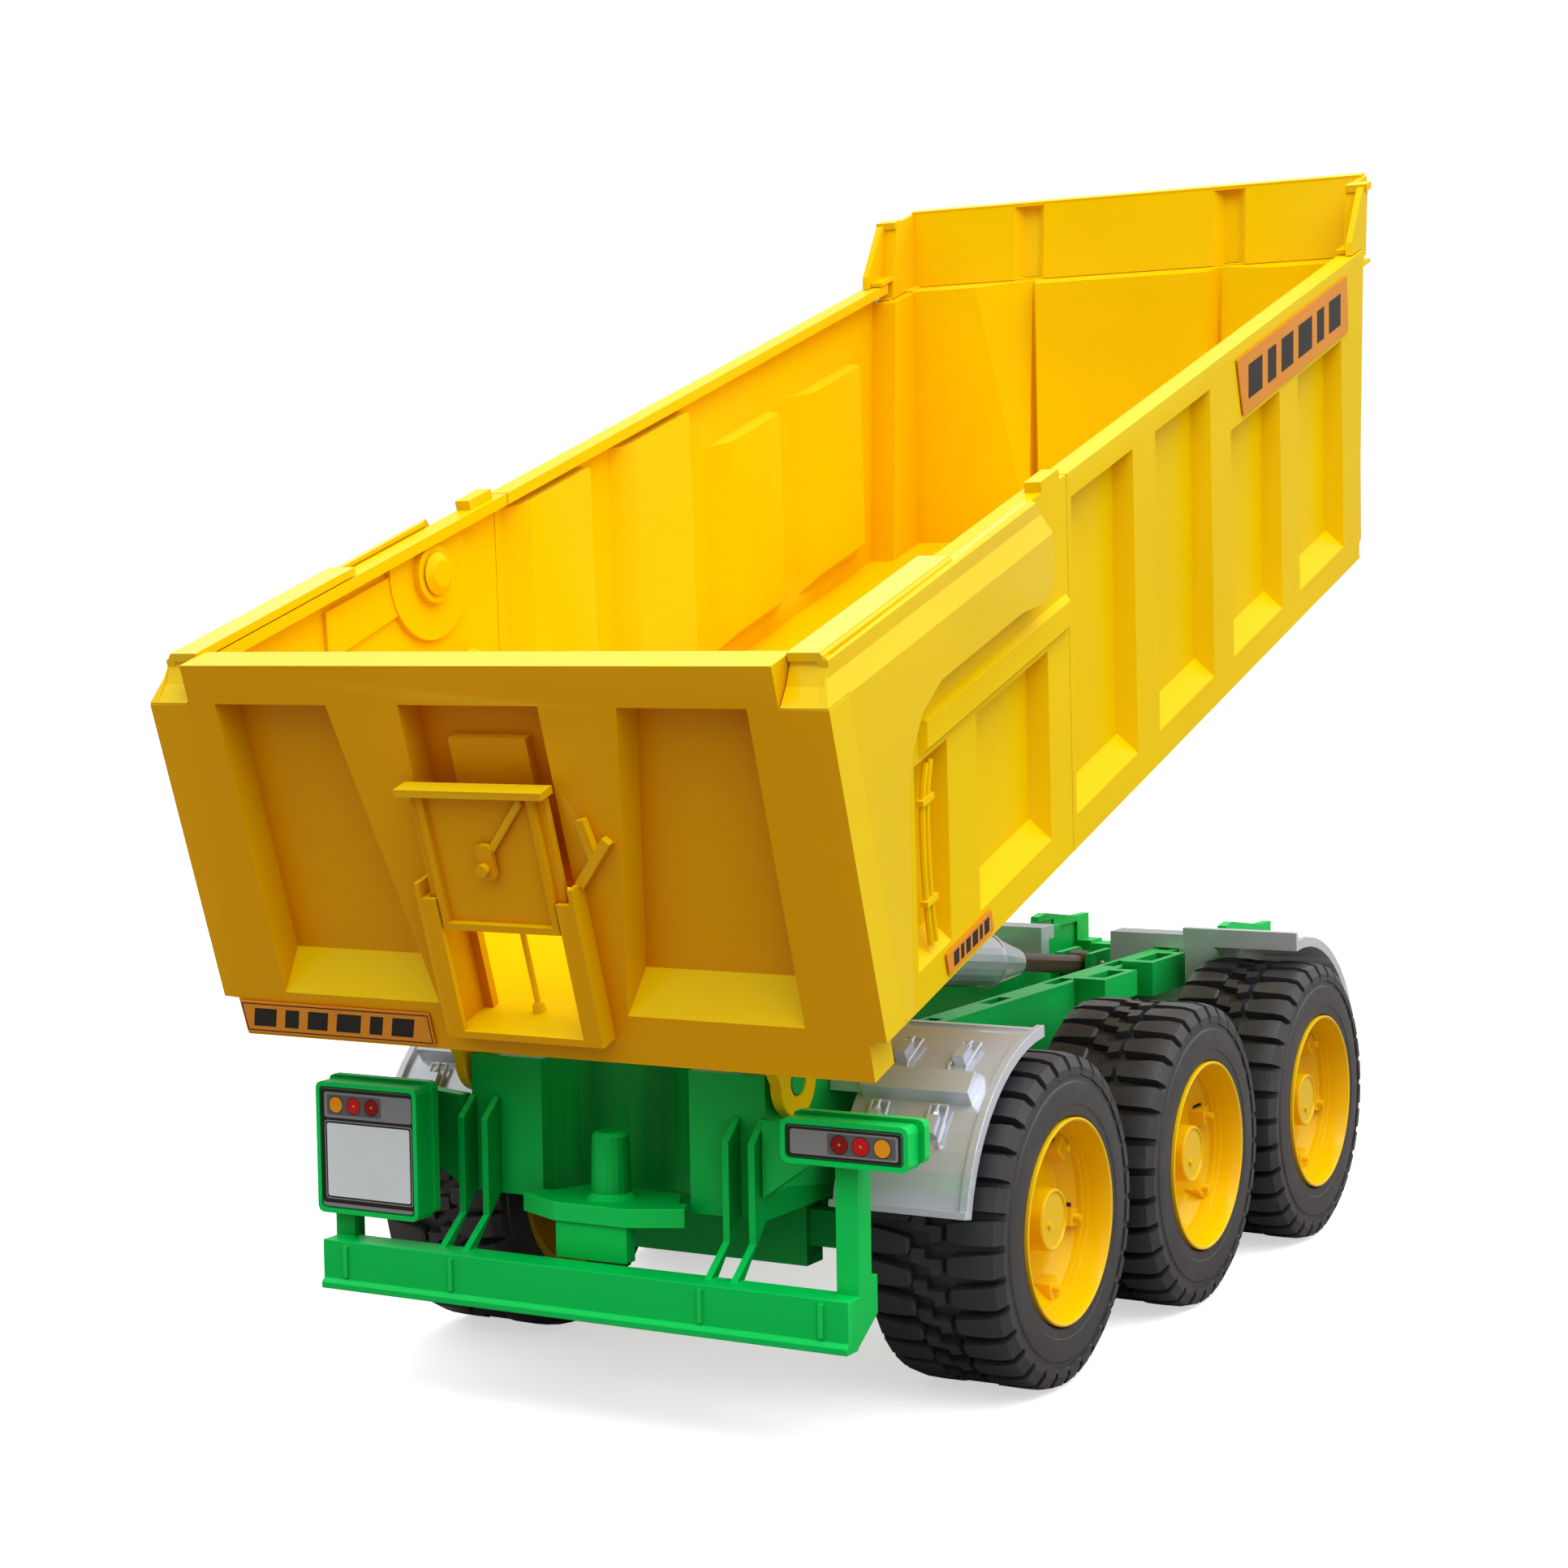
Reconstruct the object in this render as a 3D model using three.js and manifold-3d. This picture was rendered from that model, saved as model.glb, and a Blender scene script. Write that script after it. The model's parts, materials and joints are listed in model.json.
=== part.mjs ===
// Toy tri-axle tipping trailer, drawn at 1:16 of a farm trailer.
// Millimetres, +Z up, +Y towards the tow eye, +X to the right. Left and right are seen from behind.
// The bed is drawn tipped by REST_TIP, with its sliding hatch partly raised.
import * as THREE from 'three';
import { mergeVertices } from 'three/addons/utils/BufferGeometryUtils.js';
import Module from 'manifold-3d';

const wasm = await Module();
wasm.setup();

// ---------------------------------------------------------------- driving dimensions
const GAP = 0.3; // clearance between touching pieces
const TYRE_R = 41.5; // tyre radius, and the height of every axle
const AXLE_PITCH = 92;
const AXLE_NAMES = ['rear', 'middle', 'front'];
const WHEEL_OUT_X = 90.4; // outer face of a wheel
const WHEEL_IN_X = 52.4;
const RIM_R = 25.5;
const GUARD_R = 47.5; // mudguard radius about its axle
const GUARD_IN_X = 49;
const GUARD_OUT_X = 85;

const RAIL_OUT_X = 35;
const RAIL_IN_X = 27;
const RAIL_TOP_Z = 81.6;
const RAIL_LOW_Z = 56;
const RAIL_FRONT_Y = 292;
const WALL = 2; // plastic wall thickness

const BLOCK_X = 41.7; // half width of the rear hinge block
const BLOCK_REAR_Y = -65;
const BUMPER_X = 73.6;
const BUMPER_REAR_Y = -84.6;
const BUMPER_TOP_Z = 38.5;

const HINGE_Y = -57; // tipping hinge axis
const HINGE_Z = 82;
const REST_TIP = THREE.MathUtils.degToRad(18.2);
const HINGE_U = 33.5; // hinge axis in the bed's own frame
const HINGE_V = -19.8;
const EAR_X = [43.3, 46.3]; // inner and outer face of the right hinge ear

const BED_X = 86; // bed half width outside
const BED_LOW_V = 5;
const RIM_TOP_V = 94;
const LEAN = 0.297; // forward lean of every side rib, per mm of height
const RIB_FOOT_V = 13;
const BAY_DEPTH = 5;
const BAY_PITCH = 57.3;
const FIRST_BAY_U = 120;
const BAY_W = 41.5;
const FRONT_LOW_U = 347;
const FRONT_RIM_U = 381;

const GATE_X = 91.2;
const GATE_T = 9.5;
const GATE_TOP_V = 95.8;
const PIVOT_U = 104.5; // tailgate pivot
const PIVOT_V = 83.4;
const DOOR_LIFT = 25.2; // how far the hatch is raised above its sill
const SILL_V = 8;
const RAIL_STEP_V = 41.3; // the lowered hatch's flange stops just above this

const EYE_Y = 421; // centre of the tow eye
const TOW_Z = 40;
const REAR_END_Y = -124.93; // rearmost point, the tipped tailgate's top edge
const FRONT_END_Y = EYE_Y + 11.5;

const RAM_EYE = [212, 74.5]; // y, z of the ram's pivot on the chassis
const RAM_TAIL = [33.3, 98.9]; // y, z of the ram's trunnion under the bed

// ---------------------------------------------------------------- materials
const plastic = (color, roughness) =>
  new THREE.MeshStandardMaterial({ color, roughness, metalness: 0 });
const YELLOW = plastic('#f7b500', 0.38);
const YELLOW_GLOSS = plastic('#f7b500', 0.16);
const GREEN = plastic('#00a23a', 0.42);
const SILVER = new THREE.MeshStandardMaterial({ color: '#9aa0a3', roughness: 0.3, metalness: 0.35 });
const STEEL = new THREE.MeshStandardMaterial({ color: '#b9bcc0', roughness: 0.28, metalness: 1 });
const TYRE = plastic('#2d2d30', 0.72);
const BROWN = plastic('#5d4636', 0.45);
const LABEL = plastic('#e8922a', 0.5);
const STICKER = plastic('#c9cdd1', 0.45);

// ---------------------------------------------------------------- geometry helpers
const box = (x0, x1, y0, y1, z0, z1) =>
  new THREE.BoxGeometry(x1 - x0, y1 - y0, z1 - z0).translate((x0 + x1) / 2, (y0 + y1) / 2, (z0 + z1) / 2);

const shapeOf = (points) => new THREE.Shape(points.map(([a, b]) => new THREE.Vector2(a, b)));

const slab = (points, depth) => new THREE.ExtrudeGeometry(shapeOf(points), { depth, bevelEnabled: false });

const permute = new THREE.Matrix4().set(0, 0, 1, 0, 1, 0, 0, 0, 0, 1, 0, 0, 0, 0, 0, 1);

// outline in (y, z), thickness along X
const plateX = (points, x0, x1) => slab(points, x1 - x0).applyMatrix4(permute).translate(x0, 0, 0);

// outline in (x, z), thickness along Y
const plateY = (points, y0, y1) => slab(points, y1 - y0).rotateX(Math.PI / 2).translate(0, y1, 0);

// outline in (x, y), thickness along Z
const plateZ = (points, z0, z1) => slab(points, z1 - z0).translate(0, 0, z0);

// closed profile of [radius, x] pairs turned about the X axis through (y, z)
const turnX = (profile, y, z, segments) =>
  new THREE.LatheGeometry(profile.map(([r, x]) => new THREE.Vector2(r, x)), segments)
    .rotateZ(-Math.PI / 2)
    .translate(0, y, z);

const rodX = (r, x0, x1, y, z, segments = 16) =>
  turnX([[0, x0], [r, x0], [r, x1], [0, x1]], y, z, segments);

const rodZ = (profile, x, y, segments = 20) =>
  new THREE.LatheGeometry(profile.map(([r, z]) => new THREE.Vector2(r, z)), segments)
    .rotateX(Math.PI / 2)
    .translate(x, y, 0);

// solid between two four-cornered faces, each given as [x, y, z] corners in the same order
function loft(nearFace, farFace) {
  const corners = [...nearFace, ...farFace];
  const faces = [[0, 1, 2, 3], [7, 6, 5, 4], [1, 0, 4, 5], [2, 1, 5, 6], [3, 2, 6, 7], [0, 3, 7, 4]];
  const index = faces.flatMap(([a, b, c, d]) => [a, b, c, a, c, d]);
  const geometry = new THREE.BufferGeometry();
  geometry.setAttribute('position', new THREE.Float32BufferAttribute(corners.flat(), 3));
  geometry.setIndex(index);
  return volumeOf(geometry) > 0 ? geometry : flipped(geometry);
}

function volumeOf(geometry) {
  const p = geometry.attributes.position;
  const [a, b, c] = [new THREE.Vector3(), new THREE.Vector3(), new THREE.Vector3()];
  let sum = 0;
  for (let i = 0; i < geometry.index.count; i += 3) {
    a.fromBufferAttribute(p, geometry.index.getX(i));
    b.fromBufferAttribute(p, geometry.index.getX(i + 1));
    c.fromBufferAttribute(p, geometry.index.getX(i + 2));
    sum += a.dot(b.cross(c)) / 6;
  }
  return sum;
}

function flipped(geometry) {
  const index = Array.from(geometry.index.array);
  for (let i = 0; i < index.length; i += 3) {
    [index[i], index[i + 1]] = [index[i + 1], index[i]];
  }
  geometry.setIndex(index);
  return geometry;
}

function bare(geometry) {
  const copy = new THREE.BufferGeometry();
  copy.setAttribute('position', geometry.attributes.position.clone());
  copy.setIndex(geometry.index ? geometry.index.clone() : null);
  return mergeVertices(copy, 1e-4);
}

const mirrored = (geometry) => flipped(bare(geometry).scale(-1, 1, 1));

function solid(geometry) {
  const merged = bare(geometry);
  const vertProperties = new Float32Array(merged.attributes.position.array);
  const triVerts = new Uint32Array(merged.index.array);
  return new wasm.Manifold(new wasm.Mesh({ numProp: 3, vertProperties, triVerts }));
}

function geometryOf(manifold) {
  const mesh = manifold.getMesh();
  const geometry = new THREE.BufferGeometry();
  geometry.setAttribute('position', new THREE.BufferAttribute(new Float32Array(mesh.vertProperties), 3));
  geometry.setIndex(new THREE.BufferAttribute(new Uint32Array(mesh.triVerts), 1));
  return geometry;
}

// joins the first list and cuts the second list out of it
function carve(parts, cuts = []) {
  let body = parts.map(solid).reduce((whole, part) => whole.add(part));
  for (const cut of cuts) body = body.subtract(solid(cut));
  return geometryOf(body);
}

function node(group, name, geometry, material) {
  const mesh = new THREE.Mesh(geometry, material);
  mesh.name = name;
  group.add(mesh);
}

// adds the right-hand piece as drawn and its mirror image on the left
function pairOf(group, name, geometry, material) {
  node(group, `${name}_right`, geometry, material);
  node(group, `${name}_left`, mirrored(geometry), material);
}

const SIDES = [-1, 1];
const span = (side, a, b) => (side > 0 ? [a, b] : [-b, -a]);

// ---------------------------------------------------------------- groups
const trailer = new THREE.Group();
const running = new THREE.Group(); // y = 0 at the rear axle
running.position.y = -(REAR_END_Y + FRONT_END_Y) / 2;
trailer.add(running);

const tipper = new THREE.Group(); // turned about the tipping hinge
tipper.position.set(0, HINGE_Y, HINGE_Z);
tipper.rotation.x = REST_TIP;
running.add(tipper);

const bed = new THREE.Group(); // bed frame: y = 0 at the tailgate face, z = 0 at its lower edge
bed.position.set(0, -HINGE_U, -HINGE_V);
tipper.add(bed);

// ---------------------------------------------------------------- chassis
function channelRail(side) {
  const [x0, x1] = span(side, RAIL_IN_X, RAIL_OUT_X);
  const [c0, c1] = span(side, RAIL_IN_X - 1, RAIL_OUT_X - WALL);
  return {
    part: box(x0, x1, -30, RAIL_FRONT_Y, RAIL_LOW_Z, RAIL_TOP_Z),
    cut: box(c0, c1, -8, RAIL_FRONT_Y - 10, RAIL_LOW_Z + WALL, RAIL_TOP_Z - WALL),
  };
}

function stakePocket(side, y0, y1, z0, z1) {
  const [x0, x1] = span(side, RAIL_OUT_X - 0.5, RAIL_OUT_X + 9.5);
  const [c0, c1] = span(side, RAIL_OUT_X + 2, RAIL_OUT_X + 7.5);
  return {
    part: box(x0, x1, y0, y1, z0, z1),
    cut: box(c0, c1, y0 + 4, y1 - 4, z1 - 6, z1 + 1),
  };
}

function railEar(side) {
  const outline = [[248, 74], [250, 84.4], [256, 85.2], [286, 81], [291.5, 81.6], [291.5, 74]];
  return plateX(outline, ...span(side, RAIL_OUT_X - 3, RAIL_OUT_X));
}

// bracket reaching out from the block to the plate box or the lamp box
function lampArm(side) {
  const [rootLow, tipLow] = side > 0 ? [56, 67] : [51, 61];
  const outline = [[42.4, rootLow], [58, tipLow], [66, tipLow], [66, 76], [42.4, 74]];
  const placed = side > 0 ? outline : outline.map(([x, z]) => [-x, z]).reverse();
  return [
    plateY(placed, -68, -64.4),
    box(...span(side, BLOCK_X - 1, 44), -64.7, -60, 57, 71),
    box(...span(side, 58, 66), -77.2 + GAP, -66, tipLow + 2, 75.5),
  ];
}

function chassisFrame() {
  const parts = [];
  const cuts = [];
  for (const side of SIDES) {
    const pieces = [
      channelRail(side),
      stakePocket(side, 128, 152, 75, 82.5),
      stakePocket(side, 164, 190, 73, 83.2),
    ];
    for (const { part, cut } of pieces) {
      parts.push(part);
      cuts.push(cut);
    }
    parts.push(railEar(side), ...lampArm(side));
    cuts.push(box(...span(side, RAIL_IN_X - 1, RAIL_OUT_X - 3), 256, RAIL_FRONT_Y + 1, 73, 90));
    for (let y = 34; y < 250; y += 43) {
      cuts.push(box(...span(side, RAIL_IN_X + 1.5, RAIL_OUT_X - 2.5), y, y + 13, RAIL_TOP_Z - 3, RAIL_TOP_Z + 1));
    }
  }
  parts.push(box(-BLOCK_X, BLOCK_X, BLOCK_REAR_Y, -14, 50, 84));
  parts.push(box(-35, 35, -34, -26, 32, 51), box(-45, 45, -33, -27, 37, 46));
  for (const y of [18, 66, 118, 166]) {
    parts.push(box(-RAIL_IN_X - 1, RAIL_IN_X + 1, y, y + 7, RAIL_LOW_Z, RAIL_LOW_Z + 4.5));
  }
  parts.push(box(-RAIL_IN_X - 1, RAIL_IN_X + 1, 246, 252, RAIL_LOW_Z, 72));
  parts.push(box(-RAIL_IN_X - 1, RAIL_IN_X + 1, 283, RAIL_FRONT_Y, RAIL_LOW_Z, 72));
  for (const side of SIDES) {
    parts.push(plateX([[202, 56], [252, 56], [222, 79], [206, 79]], ...span(side, 4.3, 6.3)));
  }
  parts.push(box(-6, 6, 200, 252, RAIL_LOW_Z, 60));
  cuts.push(rodZ([[0, 40], [21, 40], [21, 90], [0, 90]], 0, BLOCK_REAR_Y, 32));
  cuts.push(box(-BLOCK_X + 5, BLOCK_X - 5, -38, -20, 54, 90));
  cuts.push(rodX(2, -8, 8, ...RAM_EYE));
  return carve(parts, cuts);
}

function rearBumper() {
  const channel = [
    [BUMPER_REAR_Y - 1, 26.5], [-80, 26.5], [-80, 28], [BUMPER_REAR_Y + WALL, 28.4],
    [BUMPER_REAR_Y + WALL, BUMPER_TOP_Z - 1.7], [-76.5, BUMPER_TOP_Z - 1.7], [-76.5, BUMPER_TOP_Z],
    [BUMPER_REAR_Y, BUMPER_TOP_Z], [BUMPER_REAR_Y, 29], [BUMPER_REAR_Y - 1, 28],
  ];
  const parts = [plateX(channel, -BUMPER_X, BUMPER_X)];
  const strut = [
    [BLOCK_REAR_Y - GAP, 74], [-70.8, 69], [-70.8, 45.5], [-81, BUMPER_TOP_Z - 1],
    [-77, BUMPER_TOP_Z - 1], [BLOCK_REAR_Y - GAP, 50.5],
  ];
  for (const side of SIDES) {
    for (const x of [33.2, 40.2]) {
      parts.push(plateX(strut, ...span(side, x, x + 1.8)));
    }
    parts.push(box(...span(side, 66, 67.3), BUMPER_REAR_Y - 0.5, BUMPER_REAR_Y + 1, 29.5, 37.5));
    parts.push(box(...span(side, 34.4, 35.6), BUMPER_REAR_Y - 0.5, BUMPER_REAR_Y + 1, 29.5, 37.5));
    const endCap = [[-83, 27], [-80, 27], [-70.5, 33], [-70.5, 42], [-79, 42], [-79, 38], [-83, 38]];
    parts.push(plateX(endCap, ...span(side, 71.4, BUMPER_X)));
    const top = side > 0 ? 68.8 - GAP : 45.4 - GAP;
    parts.push(box(...span(side, 67.8, BUMPER_X), -79.3, -77.5, 37, top));
    parts.push(box(...span(side, BUMPER_X - 2, BUMPER_X), -79.3, -73.3, 38, top));
  }
  return carve(parts);
}

function rearHitch() {
  const rear = -77.2;
  const platform = [
    [-10, rear], [10, rear], [23, -71], [20.5, -65.4], [18, -65.4], [13, -56],
    [-13, -56], [-18, -65.4], [-20.5, -65.4], [-23, -71],
  ];
  const post = [[-10, BUMPER_TOP_Z + GAP], [10, BUMPER_TOP_Z + GAP], [10, 49], [-10, 49]];
  const pin = [[0, 50], [6.2, 50], [6.2, 52.2], [4.9, 53.6], [4.5, 67.3], [3.6, 68.4], [0, 68.4]];
  return carve([plateZ(platform, 47.6, 52.2), plateY(post, -76.4, -72.4), rodZ(pin, 0, -67)]);
}

function roundedBox(x0, x1, z0, z1, y0, y1, r) {
  const c = r * (1 - Math.SQRT1_2);
  const outline = [
    [x0 + r, z0], [x1 - r, z0], [x1 - c, z0 + c], [x1, z0 + r], [x1, z1 - r], [x1 - c, z1 - c],
    [x1 - r, z1], [x0 + r, z1], [x0 + c, z1 - c], [x0, z1 - r], [x0, z0 + r], [x0 + c, z0 + c],
  ];
  return plateY(outline, y0, y1);
}

function lampHousing(x0, x1, z0, z1, flangeX) {
  const front = roundedBox(x0, x1, z0, z1, -85, -79.2, 1.6);
  const flange = roundedBox(x0 + flangeX, x1 + 1 + flangeX, z0 + 1.2, z1 + 1, -79.6, -77.2, 1.6);
  const pocket = roundedBox(x0 + 1.2, x1 - 1.2, z0 + 1.2, z1 - 1.2, -86, -84.2, 0.9);
  return carve([front, flange], [pocket]);
}

const stickerFor = (x0, x1, z0, z1) =>
  roundedBox(x0 + 1.6, x1 - 1.6, z0 + 1.6, z1 - 1.6, -84.9, -84.2 - GAP + 0.1, 0.7);

function axleBeam(y) {
  const beam = [
    [-10, RAIL_LOW_Z - GAP], [-10, 47], [-7, 34], [7, 34], [10, 47], [10, RAIL_LOW_Z - GAP],
  ].map(([dy, z]) => [y + dy, z]);
  return carve([plateX(beam, -48, 48)], [rodX(2.8, -50, 50, y, TYRE_R)]);
}

// right-hand mudguard over the rear half (turn = -1) or the front half (turn = 1) of a wheel
function mudguard(axleY, turn, lowDeg, highDeg, topRise) {
  const at = (r, deg) => {
    const a = THREE.MathUtils.degToRad(deg);
    return [axleY + turn * r * Math.cos(a), TYRE_R + r * Math.sin(a)];
  };
  const steps = Array.from({ length: 13 }, (_, i) => lowDeg + ((highDeg - lowDeg) * i) / 12);
  const wound = (ring) => (turn > 0 ? ring.reverse() : ring);
  const arc = (r0, r1) => wound([...steps.map((d) => at(r0, d)), ...[...steps].reverse().map((d) => at(r1, d))]);
  const stepBox = [at(GUARD_R - 1, 44.5), at(GUARD_R + 4, 45.5), at(GUARD_R + 4.5, 52.5), at(GUARD_R - 1, 56.5)];
  const lip = (deg, rise) =>
    wound([at(GUARD_R - 1, deg), at(GUARD_R + rise, deg), at(GUARD_R + rise, deg + 2), at(GUARD_R - 1, deg + 2)]);
  return [
    plateX(arc(GUARD_R - 1.6, GUARD_R), GUARD_IN_X, GUARD_OUT_X),
    plateX(arc(GUARD_R - 0.6, GUARD_R + 1.3), GUARD_OUT_X - 2, GUARD_OUT_X),
    plateX(wound(stepBox), GUARD_IN_X + 2, GUARD_OUT_X - 5),
    plateX(lip(lowDeg, 2), GUARD_IN_X, GUARD_OUT_X),
    plateX(lip(highDeg - 2, topRise), GUARD_IN_X, GUARD_OUT_X),
  ];
}

function rearMudguard() {
  const arm = [
    box(BLOCK_X + GAP, GUARD_IN_X + 3, -34, -22, 76, 80),
    box(GUARD_IN_X, GUARD_IN_X + 3, -34, -22, 76, 82),
  ];
  return carve([...mudguard(0, -1, 11, 86, 0.5), ...arm]);
}

function frontMudguard() {
  const arm = [
    box(12, GUARD_IN_X + 1, 208, 218, RAIL_TOP_Z + GAP, 86.4),
    box(12, RAIL_IN_X - GAP, 208, 214, 72, 86.4),
    box(RAIL_OUT_X + GAP, GUARD_IN_X + 1, 208, 224, 70, 86.4),
  ];
  return carve([...mudguard(2 * AXLE_PITCH, 1, 12, 98, 4), ...arm]);
}

function tyre() {
  const mid = (WHEEL_IN_X + WHEEL_OUT_X) / 2;
  const half = (WHEEL_OUT_X - WHEEL_IN_X) / 2;
  const side = [[RIM_R + GAP, half - 1.6], [33, half - 0.4], [37.5, half - 0.9], [TYRE_R, half - 3.4]];
  return [
    ...side.map(([r, dx]) => [r, mid - dx]),
    ...[...side].reverse().map(([r, dx]) => [r, mid + dx]),
    [side[0][0], mid - side[0][1]],
  ];
}

const RIM_PROFILE = [
  [0, 82.4], [2.8, 82.4], [2.8, 52.6], [6, 52.6], [6, 73], [17.5, 74.5], [20.5, 76.5], [23.4, 54],
  [RIM_R, 54], [RIM_R, WHEEL_OUT_X], [24.7, WHEEL_OUT_X], [23.5, 84.7], [22.9, 83.4], [22.3, 81.3],
  [18.5, 78.3], [7.7, 77.3], [7.7, 84.8], [7, 85.6], [0, 85.6],
];

function addRunningGear() {
  AXLE_NAMES.forEach((name, i) => {
    const y = i * AXLE_PITCH;
    node(running, `axle_beam_${name}`, axleBeam(y), GREEN);
    node(running, `axle_rod_${name}`, rodX(2.4, -82, 82, y, TYRE_R), STEEL);
    pairOf(running, `rim_${name}`, turnX(RIM_PROFILE, y, TYRE_R, 24), YELLOW);
    pairOf(running, `tyre_${name}`, turnX(tyre(), y, TYRE_R, 32), TYRE);
  });
}

function drawbar() {
  const root = RAIL_FRONT_Y + GAP;
  const tip = 384;
  const cone = loft(
    [[-27, root, 58], [27, root, 58], [27, root, 72], [-27, root, 72]],
    [[-9, tip, 33], [9, tip, 33], [9, tip, 47], [-9, tip, 47]],
  );
  const nose = plateX([[tip - 2, 33], [404, 33], [404, 47], [tip - 2, 47]], -9, 9);
  const opening = plateZ([[-18, root + 8], [18, root + 8], [5, tip - 18], [-5, tip - 18]], 20, 90);
  const sleeve = rodZ([[0, 37], [7, 37], [7, 49], [0, 49]], 0, 376, 20);
  const bore = rodZ([[0, 20], [4.2, 20], [4.2, 70], [0, 70]], 0, 376, 20);
  return carve([cone, nose, sleeve], [opening, bore]);
}

const towEye = () =>
  carve(
    [
      rodZ([[0, TOW_Z - 3.5], [11.5, TOW_Z - 3.5], [11.5, TOW_Z + 3.5], [0, TOW_Z + 3.5]], 0, EYE_Y, 28),
      box(-6, 6, 404 + GAP, EYE_Y - 8, TOW_Z - 5, TOW_Z + 5),
    ],
    [rodZ([[0, 20], [6.6, 20], [6.6, 60], [0, 60]], 0, EYE_Y, 28)],
  );

const jackLeg = () =>
  carve([
    rodZ([[0, 25], [3.8, 25], [3.8, 66], [0, 66]], 0, 376, 16),
    rodZ([[0, 24], [10, 24], [10, 26.5], [4, 28], [0, 28]], 0, 376, 20),
    rodZ([[0, 62], [6, 62], [6, 66], [0, 66]], 0, 376, 16),
  ]);

function addChassis() {
  node(running, 'chassis_frame', chassisFrame(), GREEN);
  node(running, 'rear_bumper', rearBumper(), GREEN);
  node(running, 'rear_hitch', rearHitch(), GREEN);
  node(running, 'plate_box', lampHousing(-74.5, -44, 45.4, 78, 0), GREEN);
  node(running, 'plate_sticker', stickerFor(-74.5, -44, 45.4, 78), STICKER);
  node(running, 'lamp_box', lampHousing(57, 89.2, 68.8, 79, 0.4), GREEN);
  node(running, 'lamp_sticker', stickerFor(57, 89.2, 68.8, 79), STICKER);
  pairOf(running, 'mudguard_rear', rearMudguard(), SILVER);
  pairOf(running, 'mudguard_front', frontMudguard(), SILVER);
  node(running, 'drawbar', drawbar(), GREEN);
  node(running, 'tow_eye', towEye(), STEEL);
  node(running, 'jack_leg', jackLeg(), SILVER);
  pairOf(running, 'hinge_pin', rodX(3.2, BLOCK_X + GAP, EAR_X[1], HINGE_Y, HINGE_Z, 20), GREEN);
}

// ---------------------------------------------------------------- ram
function addRam() {
  const dy = RAM_EYE[0] - RAM_TAIL[0];
  const dz = RAM_EYE[1] - RAM_TAIL[1];
  const length = Math.hypot(dy, dz);
  const ram = new THREE.Group(); // z runs from the trunnion to the eye
  ram.position.set(0, RAM_TAIL[0], RAM_TAIL[1]);
  ram.rotation.x = Math.atan2(-dy, dz);
  running.add(ram);
  const shell = [
    [0, -9], [6, -9], [8.2, -6], [8.2, 105], [8.8, 105.6], [8.8, 107], [8, 107.6], [4.4, 129],
    [3.4, 129], [3.4, 40], [0, 40],
  ];
  const barrel = [rodZ(shell, 0, 0, 24), rodX(3, -10.2, 10.2, 0, 0, 14)];
  const rod = [
    rodZ([[0, 62], [3, 62], [3, length - 3], [0, length - 3]], 0, 0, 16),
    rodX(4.6, -3, 3, 0, length, 20),
  ];
  node(ram, 'ram_barrel', carve(barrel, [rodX(1.2, -20, 20, 0, 0, 12)]), SILVER);
  node(ram, 'ram_rod', carve(rod, [rodX(2.1, -20, 20, 0, length, 16)]), BROWN);
  node(running, 'ram_eye_pin', rodX(1.7, -8, 8, ...RAM_EYE), STEEL);
}

// ---------------------------------------------------------------- bed
const leanU = (u, v) => u + LEAN * (v - RIB_FOOT_V);
const frontU = (v) =>
  FRONT_LOW_U + ((FRONT_RIM_U - FRONT_LOW_U) * (v - BED_LOW_V)) / (RIM_TOP_V - BED_LOW_V);

// quad of a wall bay in the plane x, grown by g on every edge
const bayQuad = (x, u0, u1, v0, v1, g) => [
  [x, leanU(u0, v0) - g, v0 - g], [x, leanU(u1, v0) + g, v0 - g],
  [x, leanU(u1, v1) + g, v1 + g], [x, leanU(u0, v1) - g, v1 + g],
];

// bay pressed into the wall from outside: an inward bump and the hollow cut from its outer face
function wallBay(u0, u1, v1) {
  const v0 = RIB_FOOT_V;
  const inner = BED_X - BAY_DEPTH;
  const floor = (x, g) => bayQuad(x, u0 + 10, u1 - 2, v0 + 5.5, v1 - 0.6, g);
  return {
    bump: loft(bayQuad(BED_X - 0.5, u0, u1, v0, v1, 1.2), floor(inner - WALL, 1.2)),
    hollow: loft(bayQuad(BED_X + 0.05, u0, u1, v0, v1, 0), floor(inner, 0)),
  };
}

function sideWall() {
  const seam = (v) => leanU(FIRST_BAY_U - 2.6, v) + GAP;
  const top = RIM_TOP_V - 1;
  const end = (v) => frontU(v) - 0.6;
  const skin = [[seam(BED_LOW_V), BED_LOW_V], [end(BED_LOW_V), BED_LOW_V], [end(top), top], [seam(top), top]];
  const rim = [
    [seam(RIM_TOP_V - 3) + 0.4, RIM_TOP_V - 3], [end(RIM_TOP_V - 3), RIM_TOP_V - 3],
    [end(RIM_TOP_V), RIM_TOP_V], [seam(RIM_TOP_V) + 0.4, RIM_TOP_V],
  ];
  const bays = [0, 1, 2, 3].map((i) => {
    const u0 = FIRST_BAY_U + i * BAY_PITCH;
    return wallBay(u0, u0 + BAY_W, i < 2 ? 88 : 73);
  });
  return {
    parts: [plateX(skin, BED_X - WALL, BED_X), plateX(rim, 79.5, BED_X), ...bays.map((b) => b.bump)],
    cuts: bays.map((b) => b.hollow),
  };
}

// inner face of the front wall, and the ledge at its top that carries the headboard
const LEDGE_V = 88.5;
const wallU = (v) => 390 + 0.31 * (v - LEDGE_V);

// four [x, y, z] corners at height v of a front wall feature, from [x, offset from the wall] pairs
const wallFace = (pairs, v) => pairs.map(([x, du]) => [x, wallU(v) + du, v]);

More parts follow.
